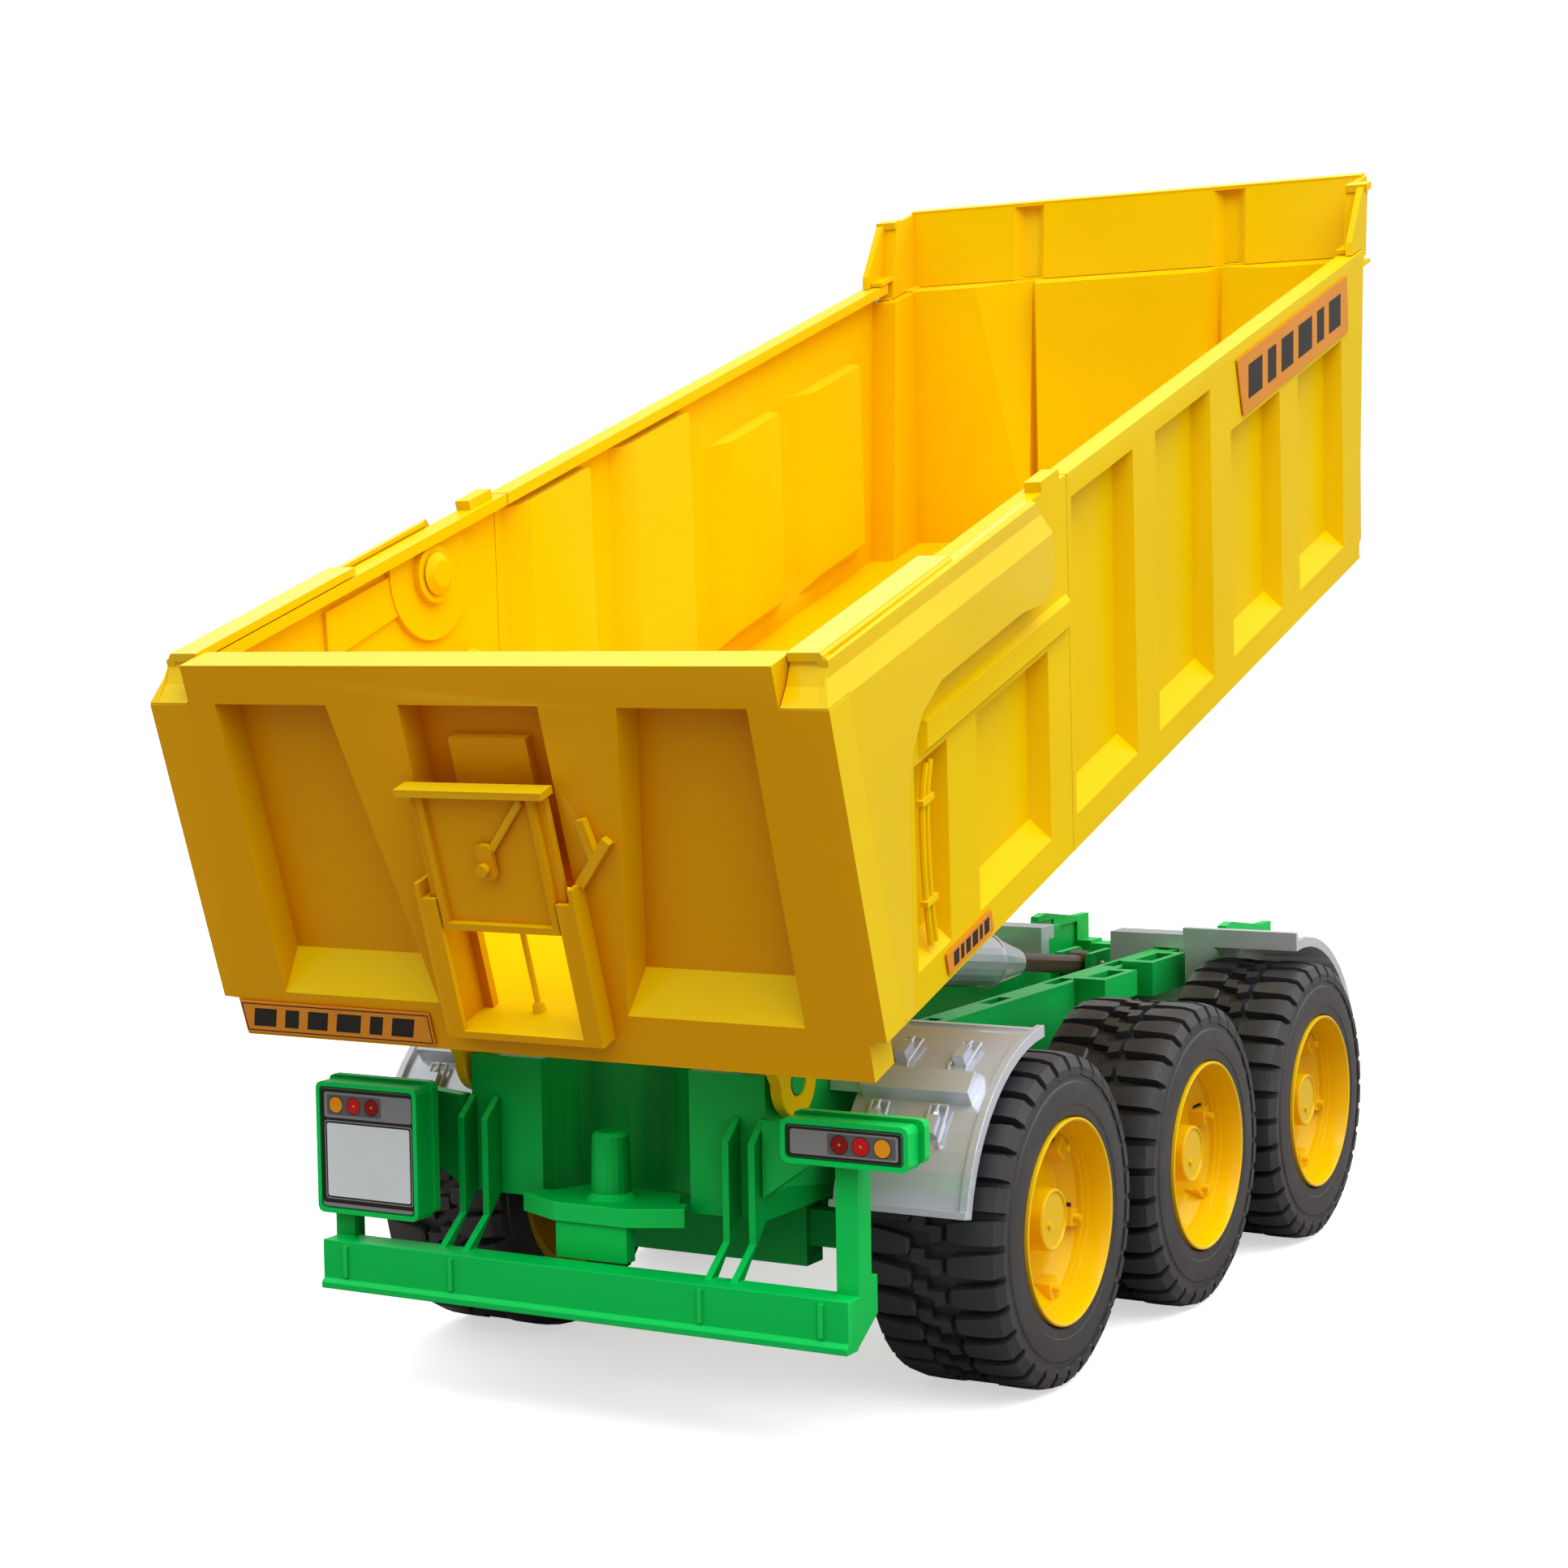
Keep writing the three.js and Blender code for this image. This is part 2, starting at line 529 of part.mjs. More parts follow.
// groove beside the middle panel, deepest at its inner edge; its outer edge slants with height
function frontGroove() {
  const faces = (inner, step, deep, du0, du1, grow) =>
    loft(
      wallFace([[inner, du0], [step, du1], [deep, du1], [34 + grow * 5, du0]], 9 - grow),
      wallFace([[inner, du0], [step, du1], [deep, du1], [52.8 + grow * 5, du0]], LEDGE_V + 0.5 - grow),
    );
  return { bump: faces(28, 30.4, 35.4, 0.5, 7.4, 0.8), hollow: faces(30.2, 32.4, 33.4, -0.1, 5.4, 0) };
}

// corner post between a side wall and the front wall
function cornerPost() {
  const face = (v) => [
    [84.4, frontU(v) - 3, v], [80.4, wallU(v) + WALL, v], [75.4, wallU(v) + WALL, v], [75.4, frontU(v) - 3, v],
  ];
  return loft(face(BED_LOW_V + 0.2), face(LEDGE_V - 0.2));
}

function frontWall() {
  const outline = [
    [wallU(BED_LOW_V), BED_LOW_V], [wallU(BED_LOW_V) + WALL, BED_LOW_V],
    [wallU(LEDGE_V - WALL) + WALL, LEDGE_V - WALL], [404.6, LEDGE_V - WALL], [404.6, LEDGE_V + 3],
    [403, LEDGE_V + 3], [403, LEDGE_V], [wallU(LEDGE_V), LEDGE_V],
  ];
  const groove = frontGroove();
  const post = cornerPost();
  return {
    parts: [plateX(outline, -78, 78), post, mirrored(post), groove.bump, mirrored(groove.bump)],
    cuts: [groove.hollow, mirrored(groove.hollow)],
  };
}

function bodyTub() {
  const right = sideWall();
  const front = frontWall();
  const seamLow = leanU(FIRST_BAY_U - 2.6, BED_LOW_V + 2.4) + GAP;
  const floor = [
    box(-BED_X + 6.6, BED_X - 6.6, GATE_T + GAP, FRONT_LOW_U + 1, BED_LOW_V, BED_LOW_V + 2.4),
    box(-BED_X, BED_X, seamLow, FRONT_LOW_U, BED_LOW_V, BED_LOW_V + 2.4),
    box(-77.6, 77.6, FRONT_LOW_U - 2, wallU(BED_LOW_V) + 0.8, BED_LOW_V, BED_LOW_V + 2.3),
  ];
  const runners = SIDES.map((side) => box(...span(side, 28, 34), 80, 286, -19, BED_LOW_V + 1));
  const hollows = SIDES.map((side) => box(...span(side, 26, 32), 84, 282, -17, BED_LOW_V - 2));
  const sillStop = box(-40, 40, 60, 66, -8, BED_LOW_V + 1);
  const lug = SIDES.map((side) =>
    plateX([[104, BED_LOW_V + 1], [108, -40], [140, -40], [146, BED_LOW_V + 1]], ...span(side, 10.8, 12.8)));
  const slot = [box(-20, 20, 114, 135, -35, -27)];
  return carve(
    [...floor, ...right.parts, ...right.parts.map(mirrored), ...front.parts, ...runners, sillStop, ...lug],
    [...right.cuts, ...right.cuts.map(mirrored), ...front.cuts, ...hollows, ...slot],
  );
}

// right rear side panel, which carries the tailgate's pivot
function sidePanel() {
  const seam = (v) => leanU(FIRST_BAY_U - 2.6, v);
  const rear = GATE_T + GAP;
  const low = BED_LOW_V;
  const outline = [
    [rear, low], [seam(low), low], [seam(RIM_TOP_V), RIM_TOP_V], [rear, RIM_TOP_V],
  ];
  const rim = [[rear, RIM_TOP_V - 3], [seam(RIM_TOP_V - 3), RIM_TOP_V - 3], [seam(RIM_TOP_V), RIM_TOP_V], [rear, RIM_TOP_V]];
  const bays = [wallBay(28, 45.5, 57), wallBay(61.5, 104, 57)];
  const bar = loft(
    bayQuad(BED_X - 0.5, 30, 116, 57.6, 67, 0),
    bayQuad(BED_X + 1.7, 32, 115, 59.6, 65.4, 0),
  );
  const sill = plateX(
    [[rear, low], [seam(low), low], [seam(low + 2.4), low + 2.4], [rear, low + 2.4]],
    BED_X - 6.6 + GAP, BED_X - WALL + 0.5,
  );
  const pivotBoss = rodX(7.6, 80.4, BED_X - 0.2, PIVOT_U, PIVOT_V, 24);
  const swingPlate = rodX(17.5, 82.4, BED_X - 0.2, PIVOT_U, PIVOT_V, 32);
  const track = plateX([[57, 76], [60, 88], [100, 88], [100, 78]], 82.8, BED_X - 0.2);
  const stop = box(81.5, BED_X, seam(RIM_TOP_V) - 15, seam(RIM_TOP_V) - 4, RIM_TOP_V - 0.5, RIM_TOP_V + 2.6);
  return carve(
    [
      plateX(outline, BED_X - WALL, BED_X), plateX(rim, 79.5, BED_X), sill, bar, pivotBoss, track, stop,
      ...bays.map((b) => b.bump),
      geometryOf(solid(swingPlate).intersect(solid(box(70, 100, 60, 140, 40, RIM_TOP_V - 2)))),
    ],
    [...bays.map((b) => b.hollow), rodX(5.1, 70, 95, PIVOT_U, PIVOT_V, 24), box(70, 86.5, 9, 120, 90.6, 91.05)],
  );
}

// upper headboard standing on the front ledge, with two grooves, a rolled top edge and side wings
function headboard() {
  const v0 = LEDGE_V + GAP;
  const v1 = 111.8;
  const boardU = (v) => 396.6 + 0.38 * (v - v0);
  const cheekU = (v) => 380.4 + 0.5 * (v - v0);
  const upright = (faceU, x0, x1, du0, du1, top) => {
    const face = (v) => [[x0, faceU(v) + du0, v], [x1, faceU(v) + du0, v], [x1, faceU(v) + du1, v], [x0, faceU(v) + du1, v]];
    return loft(face(v0), face(top));
  };
  const boardRib = (side, [near0, near1], [far0, far1], [du0, du1], top) => {
    const face = (v) => [
      [side * near0, boardU(v) + du0, v], [side * near1, boardU(v) + du0, v],
      [side * far1, boardU(v) + du1, v], [side * far0, boardU(v) + du1, v],
    ];
    return loft(face(v0), face(top));
  };
  const wing = [[372, RIM_TOP_V + GAP], [373.4, 98], [388.6, 111.4], [394, v1], [386.4, RIM_TOP_V + GAP]];
  const parts = [upright(boardU, -79.4, 79.4, 0, 2, v1), box(-79.4, 79.4, boardU(v1), 408.8, 110.8, 112.6)];
  const cuts = [];
  for (const side of SIDES) {
    parts.push(plateX([[cheekU(v0), v0], [boardU(v0) + 2, v0], [boardU(v1) + 2, v1], [cheekU(v1), v1]], ...span(side, 78.7, 80.6)));
    parts.push(upright(cheekU, ...span(side, 79, 84), 0, 2, v1), plateX(wing, ...span(side, 83, 85)));
    parts.push(box(...span(side, 78.8, 85.8), 390.4, 394.8, 110.2, 112.4));
    parts.push(box(...span(side, 79, 85), 374.5, 385, RIM_TOP_V + GAP, RIM_TOP_V + 1.6));
    parts.push(boardRib(side, [28, 43], [31.4, 39.4], [1, 5.2], v1 - 0.4));
    cuts.push(boardRib(side, [29.9, 41], [33, 37.8], [-0.1, 3.4], v1 - 0.3));
  }
  return carve(parts, cuts);
}

function hingeEar() {
  const ring = rodX(8.6, ...EAR_X, HINGE_U, HINGE_V, 28);
  const neck = [[HINGE_U - 8, HINGE_V + 3], [HINGE_U + 8, HINGE_V + 3], [HINGE_U + 16, 4.7], [HINGE_U - 14, 4.7]];
  const bore = rodX(3.55, 30, 60, HINGE_U, HINGE_V, 24);
  return carve([ring, plateX(neck, ...EAR_X)], [bore]);
}

// two hoses run in clips inside the rear bay
function hosePair() {
  const route = (du) =>
    new THREE.CatmullRomCurve3(
      [[47.5, 55.6], [43.6, 49], [40, 38], [37.5, 26], [36.5, 16]].map(([u, v]) => new THREE.Vector3(85.6, u + du, v)),
    );
  const section = new THREE.Shape().absarc(0, 0, 0.8, 0, Math.PI * 2);
  const hose = (du) =>
    new THREE.ExtrudeGeometry(section, { extrudePath: route(du), steps: 14, curveSegments: 4, bevelEnabled: false });
  const clip = (u, v) => box(84.8, 86.7, u - 1.6, u + 4.2, v - 0.7, v + 0.7);
  return carve([hose(0), hose(2.4), clip(43.2, 48), clip(37.6, 26)]);
}

function addBed() {
  node(bed, 'body_tub', bodyTub(), YELLOW);
  pairOf(bed, 'side_panel', sidePanel(), YELLOW);
  node(bed, 'headboard', headboard(), YELLOW);
  pairOf(bed, 'hinge_ear', hingeEar(), YELLOW);
  pairOf(bed, 'hose_pair', hosePair(), YELLOW);
  const x0 = BED_X + 0.2;
  const sideLabel = [[262, 74.5], [357, 74.5], [361, 90.5], [262, 90.5]];
  pairOf(bed, 'side_label', plateX(sideLabel, x0, x0 + 0.5), LABEL);
  const sillLabel = [[41, 6.4], [66, 6.4], [66, 11.6], [41, 11.6]];
  pairOf(bed, 'sill_label', plateX(sillLabel, x0, x0 + 0.5), LABEL);
}

// ---------------------------------------------------------------- tailgate and hatch
const RECESS_V = [12, 86.3];

// one of the two outer recesses; its inner edge slants with the rib beside it
function gateRecess(side) {
  const [v0, v1] = RECESS_V;
  const corner = (x, u, v) => [side * x, u, v];
  const depth = 7.5;
  return loft(
    [corner(26, -0.1, v0), corner(71.6, -0.1, v0), corner(71.6, -0.1, v1), corner(39.2, -0.1, v1)],
    [corner(28.4, depth, v0 + 9), corner(71, depth, v0 + 9), corner(71, depth, v1 - 0.6), corner(39.8, depth, v1 - 0.6)],
  );
}

const backPocket = (points) => plateY(points, WALL, GATE_T + 1);

function tailgatePlate() {
  const low = 9.7;
  const outline = [
    [-86.6, 0], [86.6, 0], [86.9, low], [GATE_X, low + 0.2], [GATE_X, 86], [79.3, 86.2], [79.3, GATE_TOP_V],
    [-79.3, GATE_TOP_V], [-79.3, 86.2], [-GATE_X, 86], [-GATE_X, low + 0.2], [-86.9, low],
  ];
  const rib = [[23.5, 14], [28.2, 40], [36, 84], [21.2, 84], [21.2, 14]];
  const bar = (x0, v0, x1, v1) => {
    const a = Math.atan2(v1 - v0, x1 - x0);
    const [cx, cz] = [Math.sin(a) * 1.15, Math.cos(a) * 1.15];
    return plateY([[x0 + cx, v0 - cz], [x1 + cx, v1 - cz], [x1 - cx, v1 + cz], [x0 - cx, v0 + cz]], -1.9, 0.5);
  };
  const rails = SIDES.flatMap((side) => [
    box(...span(side, 20.3, 21.5), -5.2, 0.5, 6.2, 45),
    box(...span(side, 18.9, 20.5), -5.2, 0.5, 6.2, RAIL_STEP_V),
    box(...span(side, 16.4, 19.2), -5.2, -3.9, 6.2, RAIL_STEP_V),
  ]);
  const parts = [
    plateY(outline, 0, GATE_T), ...rails,
    box(-21.3, 21.3, -5.2, 0.5, 6.2, SILL_V),
    bar(21.4, 44.6, 30.8, 55.6), bar(26.6, 51.4, 24.8, 60.4),
  ];
  const cuts = [
    ...SIDES.map(gateRecess),
    box(-18.9, 18.9, -0.1, 7.2, SILL_V, 86.5),
    box(-16.4, 16.4, 4, GATE_T + 1, SILL_V, 40),
    backPocket(rib), backPocket(rib.map(([x, v]) => [-x, v]).reverse()),
    backPocket([[73.6, 12], [84.6, 12], [84.6, 84], [73.6, 84]]),
    backPocket([[-84.6, 12], [-73.6, 12], [-73.6, 84], [-84.6, 84]]),
  ];
  const boss = box(-10.5, 10.5, 4.6, 7.6, 44, 77);
  return geometryOf(solid(carve(parts, cuts)).add(solid(boss)));
}

function gateArm() {
  const outline = [
    [GATE_T + GAP, 10.2], [14.5, 10.2], [18, 25], [28, 57], [33, 64.5], [40, 70.5], [51, 74], [96, 74], [109, 72],
    [115, 75], [118.5, 84], [118, 90], [115.5, 95.6], [6.6, 95], [6.6, 93.2], [0, 86.5], [GATE_T + GAP, 86.5],
  ];
  const edge = [[91.25, 86.2], [93, 86.2], [93, 99], [87.4, 99], [87.4, 96.2], [89.1, 94.6], [89.1, 91.2]];
  const skin = plateX(outline, 88.6, GATE_X);
  const shoulder = loft(
    [[86.4, 6.6, 94.4], [86.4, 112, 94.4], [86.4, 112, 95.6], [86.4, 6.6, 94.8]],
    [[89, 6.6, 87.5], [89, 116, 87.5], [89, 116, 95.6], [89, 6.6, 94.6]],
  );
  const cap = box(79.5, 88, 6.6, 71, RIM_TOP_V + 0.4, 96.4);
  const corner = plateX([[0, 86.5], [4, 89.8], [7, 93.6], [7, 95], [9.4, 95], [9.4, 86.5]], 79.6, 89);
  return carve([skin, shoulder, cap, corner], [plateY(edge, -1, 130)]);
}

function hatchDoor() {
  const v0 = SILL_V + 0.4 + DOOR_LIFT;
  const v1 = v0 + 35.2;
  const frame = (x, t) => [
    box(-x, x, -4.9, -3.4, v0, v0 + t), box(-x, -x + t, -4.9, -3.4, v0, v1), box(x - t, x, -4.9, -3.4, v0, v1),
  ];
  return carve([
    box(-18.4, 18.4, -3.6, -2, v0 + 0.2, v1), box(-19.9, 19.9, -7, -2, v1 - 1.8, v1), ...frame(15.9, 1.8),
  ]);
}

function hatchLatch() {
  const v = SILL_V + DOOR_LIFT + 18;
  const rod = loft(
    [[1.2, -4.9, v + 0.6], [1.2, -3.6 - GAP, v + 0.6], [0.2, -3.6 - GAP, v + 2], [0.2, -4.9, v + 2]],
    [[12.6, -4.9, v + 13.6], [12.6, -3.6 - GAP, v + 13.6], [11.6, -3.6 - GAP, v + 15], [11.6, -4.9, v + 15]],
  );
  const knob = new THREE.CylinderGeometry(1.3, 1.5, 2.6, 14).translate(-0.4, -5.8, v - 1.6);
  return carve([roundedBox(-2.1, 2.1, v - 4.5, v + 4, -5.4, -3.6 - GAP, 1.2), rod, knob]);
}

function addTailgate() {
  node(bed, 'tailgate', tailgatePlate(), YELLOW);
  pairOf(bed, 'tailgate_arm', gateArm(), YELLOW_GLOSS);
  const pin = [
    [0, 78.2], [3.6, 78.2], [5.9, 79.8], [4.7, 80.2], [4.7, 88.3], [0, 88.3],
  ];
  pairOf(bed, 'pivot_pin', turnX(pin, PIVOT_U, PIVOT_V, 24), YELLOW);
  const label = [[-86.2, 1], [-29.5, 1], [-29.5, 9.4], [-86.2, 9.4]];
  node(bed, 'tailgate_label', plateY(label, -0.7, -0.2), LABEL);
  node(bed, 'hatch_door', hatchDoor(), YELLOW);
  node(bed, 'hatch_latch', hatchLatch(), YELLOW);
}

addRunningGear();
addChassis();
addRam();
addBed();
addTailgate();

export default trailer;
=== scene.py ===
"""Looks for the toy tipping trailer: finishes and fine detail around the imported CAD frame."""
import json
import math

import bmesh
import bpy
from mathutils import Matrix, Vector


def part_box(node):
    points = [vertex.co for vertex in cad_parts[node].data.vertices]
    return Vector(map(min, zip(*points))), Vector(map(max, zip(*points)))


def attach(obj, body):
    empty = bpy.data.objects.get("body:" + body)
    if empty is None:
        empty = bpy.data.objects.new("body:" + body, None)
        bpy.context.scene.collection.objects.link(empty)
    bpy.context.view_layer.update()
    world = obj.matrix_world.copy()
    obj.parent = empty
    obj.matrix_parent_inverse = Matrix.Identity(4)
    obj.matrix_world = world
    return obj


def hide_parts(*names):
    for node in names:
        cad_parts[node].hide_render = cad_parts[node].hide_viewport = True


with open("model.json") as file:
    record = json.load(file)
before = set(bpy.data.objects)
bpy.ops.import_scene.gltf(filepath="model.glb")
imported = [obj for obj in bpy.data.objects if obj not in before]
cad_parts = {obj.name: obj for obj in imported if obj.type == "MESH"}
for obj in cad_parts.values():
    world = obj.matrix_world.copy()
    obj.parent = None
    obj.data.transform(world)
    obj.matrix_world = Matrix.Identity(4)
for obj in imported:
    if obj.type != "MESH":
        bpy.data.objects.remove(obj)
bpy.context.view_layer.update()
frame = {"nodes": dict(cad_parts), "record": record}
nodes = frame["nodes"]
record = frame["record"]
MM = 0.001  # drawn shapes are in millimetres, Blender is in metres
SIDES = {"right": 1, "left": -1}


# ------------------------------------------------------------------ camera, floor, lights
CAMERA_PLACE = (0.38013, -0.805655, 0.19862)
CAMERA_TURN = (29.5, 3.926, -0.87)  # yaw to the left, pitch down and roll, in degrees
SENSOR_WIDTH = 36
FOCAL_LENGTH = 67.5
FLOOR_HALF = 30  # metres
FLOOR_SEEN = (0.93, 0.93, 0.94, 1)  # to the camera
FLOOR_BOUNCE = (0.31, 0.28, 0.25, 1)  # to everything else
FLOOR_GLOW = 0.57
KEY_PLACE, KEY_TARGET = (0.7, -0.6, 1.4), (0, 0, 0.1)
KEY_SIZE, KEY_POWER = (1.0, 1.0), 8
STUDIO_RAMPS = (  # axis, the stretch of it that changes, and the brightness at its two ends
    ("Z", 0.15, 0.6, 0.0, 0.95), ("X", -1.0, 1.0, 0.05, 0.38), ("Y", -1.0, 0.6, 0.0, 0.3),
)


def rotation_from(yaw, pitch, roll):
    """Camera axes for a view turned yaw to the left, pitch down, and roll, all in degrees."""
    yaw, pitch, roll = (math.radians(a) for a in (yaw, pitch, roll))
    right = Vector((math.cos(yaw), math.sin(yaw), 0))
    level = math.cos(pitch)
    ahead = Vector((-math.sin(yaw) * level, math.cos(yaw) * level, -math.sin(pitch)))
    up = right.cross(ahead)
    x = right * math.cos(roll) + up * math.sin(roll)
    y = -right * math.sin(roll) + up * math.cos(roll)
    return Matrix((x, y, -ahead)).transposed().to_4x4()


def add_camera():
    """The camera stands behind and to the right of the trailer, a little above its wheels."""
    data = bpy.data.cameras.new("camera")
    data.sensor_width = SENSOR_WIDTH
    data.lens = FOCAL_LENGTH
    data.clip_start = 0.02
    data.clip_end = 50
    camera = bpy.data.objects.new("camera", data)
    bpy.context.scene.collection.objects.link(camera)
    camera.matrix_world = Matrix.Translation(CAMERA_PLACE) @ rotation_from(*CAMERA_TURN)
    bpy.context.scene.camera = camera


def area_light(name, place, target, size, power):
    """A rectangular light aimed at a point."""
    data = bpy.data.lights.new(name, "AREA")
    data.shape = "RECTANGLE"
    data.size, data.size_y = size
    data.energy = power
    light = bpy.data.objects.new(name, data)
    bpy.context.scene.collection.objects.link(light)
    light.location = place
    light.rotation_euler = (Vector(target) - Vector(place)).to_track_quat("-Z", "Y").to_euler()


def add_stage():
    """A pale floor, nearly white to the camera, that throws a dimmer, warmer light upwards."""
    corners = [(x * FLOOR_HALF, y * FLOOR_HALF, 0) for x, y in ((-1, -1), (1, -1), (1, 1), (-1, 1))]
    mesh = bpy.data.meshes.new("floor")
    mesh.from_pydata(corners, [], [(0, 1, 2, 3)])
    floor = bpy.data.objects.new("floor", mesh)
    bpy.context.scene.collection.objects.link(floor)
    material = bpy.data.materials.new("floor")
    material.use_nodes = True
    tree = material.node_tree
    shader = tree.nodes["Principled BSDF"]
    seen = tree.nodes.new("ShaderNodeLightPath").outputs["Is Camera Ray"]
    tint = tree.nodes.new("ShaderNodeMix")
    tint.data_type = "RGBA"
    tree.links.new(seen, tint.inputs[0])
    tint.inputs[6].default_value = FLOOR_BOUNCE
    tint.inputs[7].default_value = FLOOR_SEEN
    tree.links.new(tint.outputs[2], shader.inputs["Base Color"])
    glow = tree.nodes.new("ShaderNodeMath")
    glow.operation = "MULTIPLY"
    glow.inputs[1].default_value = FLOOR_GLOW
    tree.links.new(seen, glow.inputs[0])
    tree.links.new(glow.outputs[0], shader.inputs["Emission Strength"])
    shader.inputs["Emission Color"].default_value = (1, 1, 1, 1)
    shader.inputs["Roughness"].default_value = 0.7
    shader.inputs["Specular IOR Level"].default_value = 0.1
    mesh.materials.append(material)
    bpy.context.scene.view_settings.view_transform = "Standard"
    add_studio()
    area_light("key", KEY_PLACE, KEY_TARGET, KEY_SIZE, KEY_POWER)


def add_studio():
    """A white room that is bright overhead and dim near the horizon; its walls look plain white."""
    world = bpy.data.worlds.new("studio")
    world.use_nodes = True
    tree = world.node_tree
    background = tree.nodes["Background"]
    heading = tree.nodes.new("ShaderNodeSeparateXYZ")
    tree.links.new(tree.nodes.new("ShaderNodeTexCoord").outputs["Generated"], heading.inputs[0])

    def ramp(value, low, high, to_low, to_high):
        node = tree.nodes.new("ShaderNodeMapRange")
        node.interpolation_type = "SMOOTHSTEP"
        tree.links.new(value, node.inputs["Value"])
        settings = {"From Min": low, "From Max": high, "To Min": to_low, "To Max": to_high}
        for key, number in settings.items():
            node.inputs[key].default_value = number
        return node.outputs[0]

    def math_node(operation, a, b):
        node = tree.nodes.new("ShaderNodeMath")
        node.operation = operation
        for socket, value in zip(node.inputs, (a, b)):
            if isinstance(value, bpy.types.NodeSocket):
                tree.links.new(value, socket)
            else:
                socket.default_value = value
        return node.outputs[0]

    above, right, ahead = (ramp(heading.outputs[axis], *levels) for axis, *levels in STUDIO_RAMPS)
    level = math_node("ADD", above, math_node("ADD", right, ahead))
    seen = tree.nodes.new("ShaderNodeLightPath").outputs["Is Camera Ray"]
    tree.links.new(math_node("MAXIMUM", level, seen), background.inputs["Strength"])
    background.inputs["Color"].default_value = (1, 1, 1, 1)
    bpy.context.scene.world = world


# ------------------------------------------------------------------ materials
class Nodes:
    """Short names for building one material's nodes."""

    def __init__(self, name):
        self.material = bpy.data.materials.new(name)
        self.material.use_nodes = True
        self.tree = self.material.node_tree
        self.shader = self.tree.nodes["Principled BSDF"]

    def add(self, kind, **inputs):
        """A node: _name sets a property, i0 or i1 an input by number, other names an input."""
        node = self.tree.nodes.new(kind)
        for key, value in inputs.items():
            if key.startswith("_"):
                setattr(node, key[1:], value)
                continue
            by_number = key[0] == "i" and key[1:].isdigit()
            socket = node.inputs[int(key[1:]) if by_number else key.replace("_", " ")]
            if isinstance(value, bpy.types.NodeSocket):
                self.tree.links.new(value, socket)
            else:
                socket.default_value = value
        return node

    def place(self):
        return self.add("ShaderNodeTexCoord").outputs["Object"]

    def noise(self, scale, detail=3, roughness=0.5, vector=None):
        vector = vector or self.place()
        return self.add(
            "ShaderNodeTexNoise", Vector=vector, Scale=scale, Detail=detail, Roughness=roughness
        )

    def ramp(self, fac, low, high):
        """0 below low, 1 above high, and even between them."""
        node = self.add("ShaderNodeValToRGB", Fac=fac)
        points = node.color_ramp.elements
        points[0].position, points[1].position = low, high
        return node.outputs["Color"]

    def mix(self, fac, a, b, blend="MIX"):
        node = self.add("ShaderNodeMix", _data_type="RGBA", _blend_type=blend)
        for index, value in ((0, fac), (6, a), (7, b)):
            if isinstance(value, bpy.types.NodeSocket):
                self.tree.links.new(value, node.inputs[index])
            else:
                node.inputs[index].default_value = value
        return node.outputs[2]

    def math(self, operation, a, b):
        return self.add("ShaderNodeMath", _operation=operation, i0=a, i1=b).outputs[0]

    def range(self, value, low, high):
        """A value from 0 to 1 brought between low and high."""
        node = self.add("ShaderNodeMapRange", Value=value)
        node.inputs["To Min"].default_value = low
        node.inputs["To Max"].default_value = high
        return node.outputs[0]

    def bump(self, height, strength, distance, normal=None):
        node = self.add("ShaderNodeBump", Height=height, Strength=strength, Distance=distance)
        if normal:
            self.tree.links.new(normal, node.inputs["Normal"])
        return node.outputs["Normal"]

    def set(self, name, value):
        """Sets or links an input of the surface shader."""
        socket = self.shader.inputs[name]
        if isinstance(value, bpy.types.NodeSocket):
            self.tree.links.new(value, socket)
        else:
            socket.default_value = value


def shade(colour, factor):
    """A colour made darker or paler, with full alpha."""
    return (*(c * factor for c in colour), 1)


PLASTIC_GRAIN = 900  # all texture scales are per metre
SILVER_DARK, SILVER_PALE = (0.7, 0.74, 0.85, 1), (0.78, 0.82, 0.93, 1)
RUBBER_CLEAN, RUBBER_DUSTY = (0.03, 0.03, 0.036, 1), (0.058, 0.059, 0.068, 1)
STEEL_DARK, STEEL_PALE = (0.42, 0.43, 0.45, 1), (0.58, 0.58, 0.6, 1)


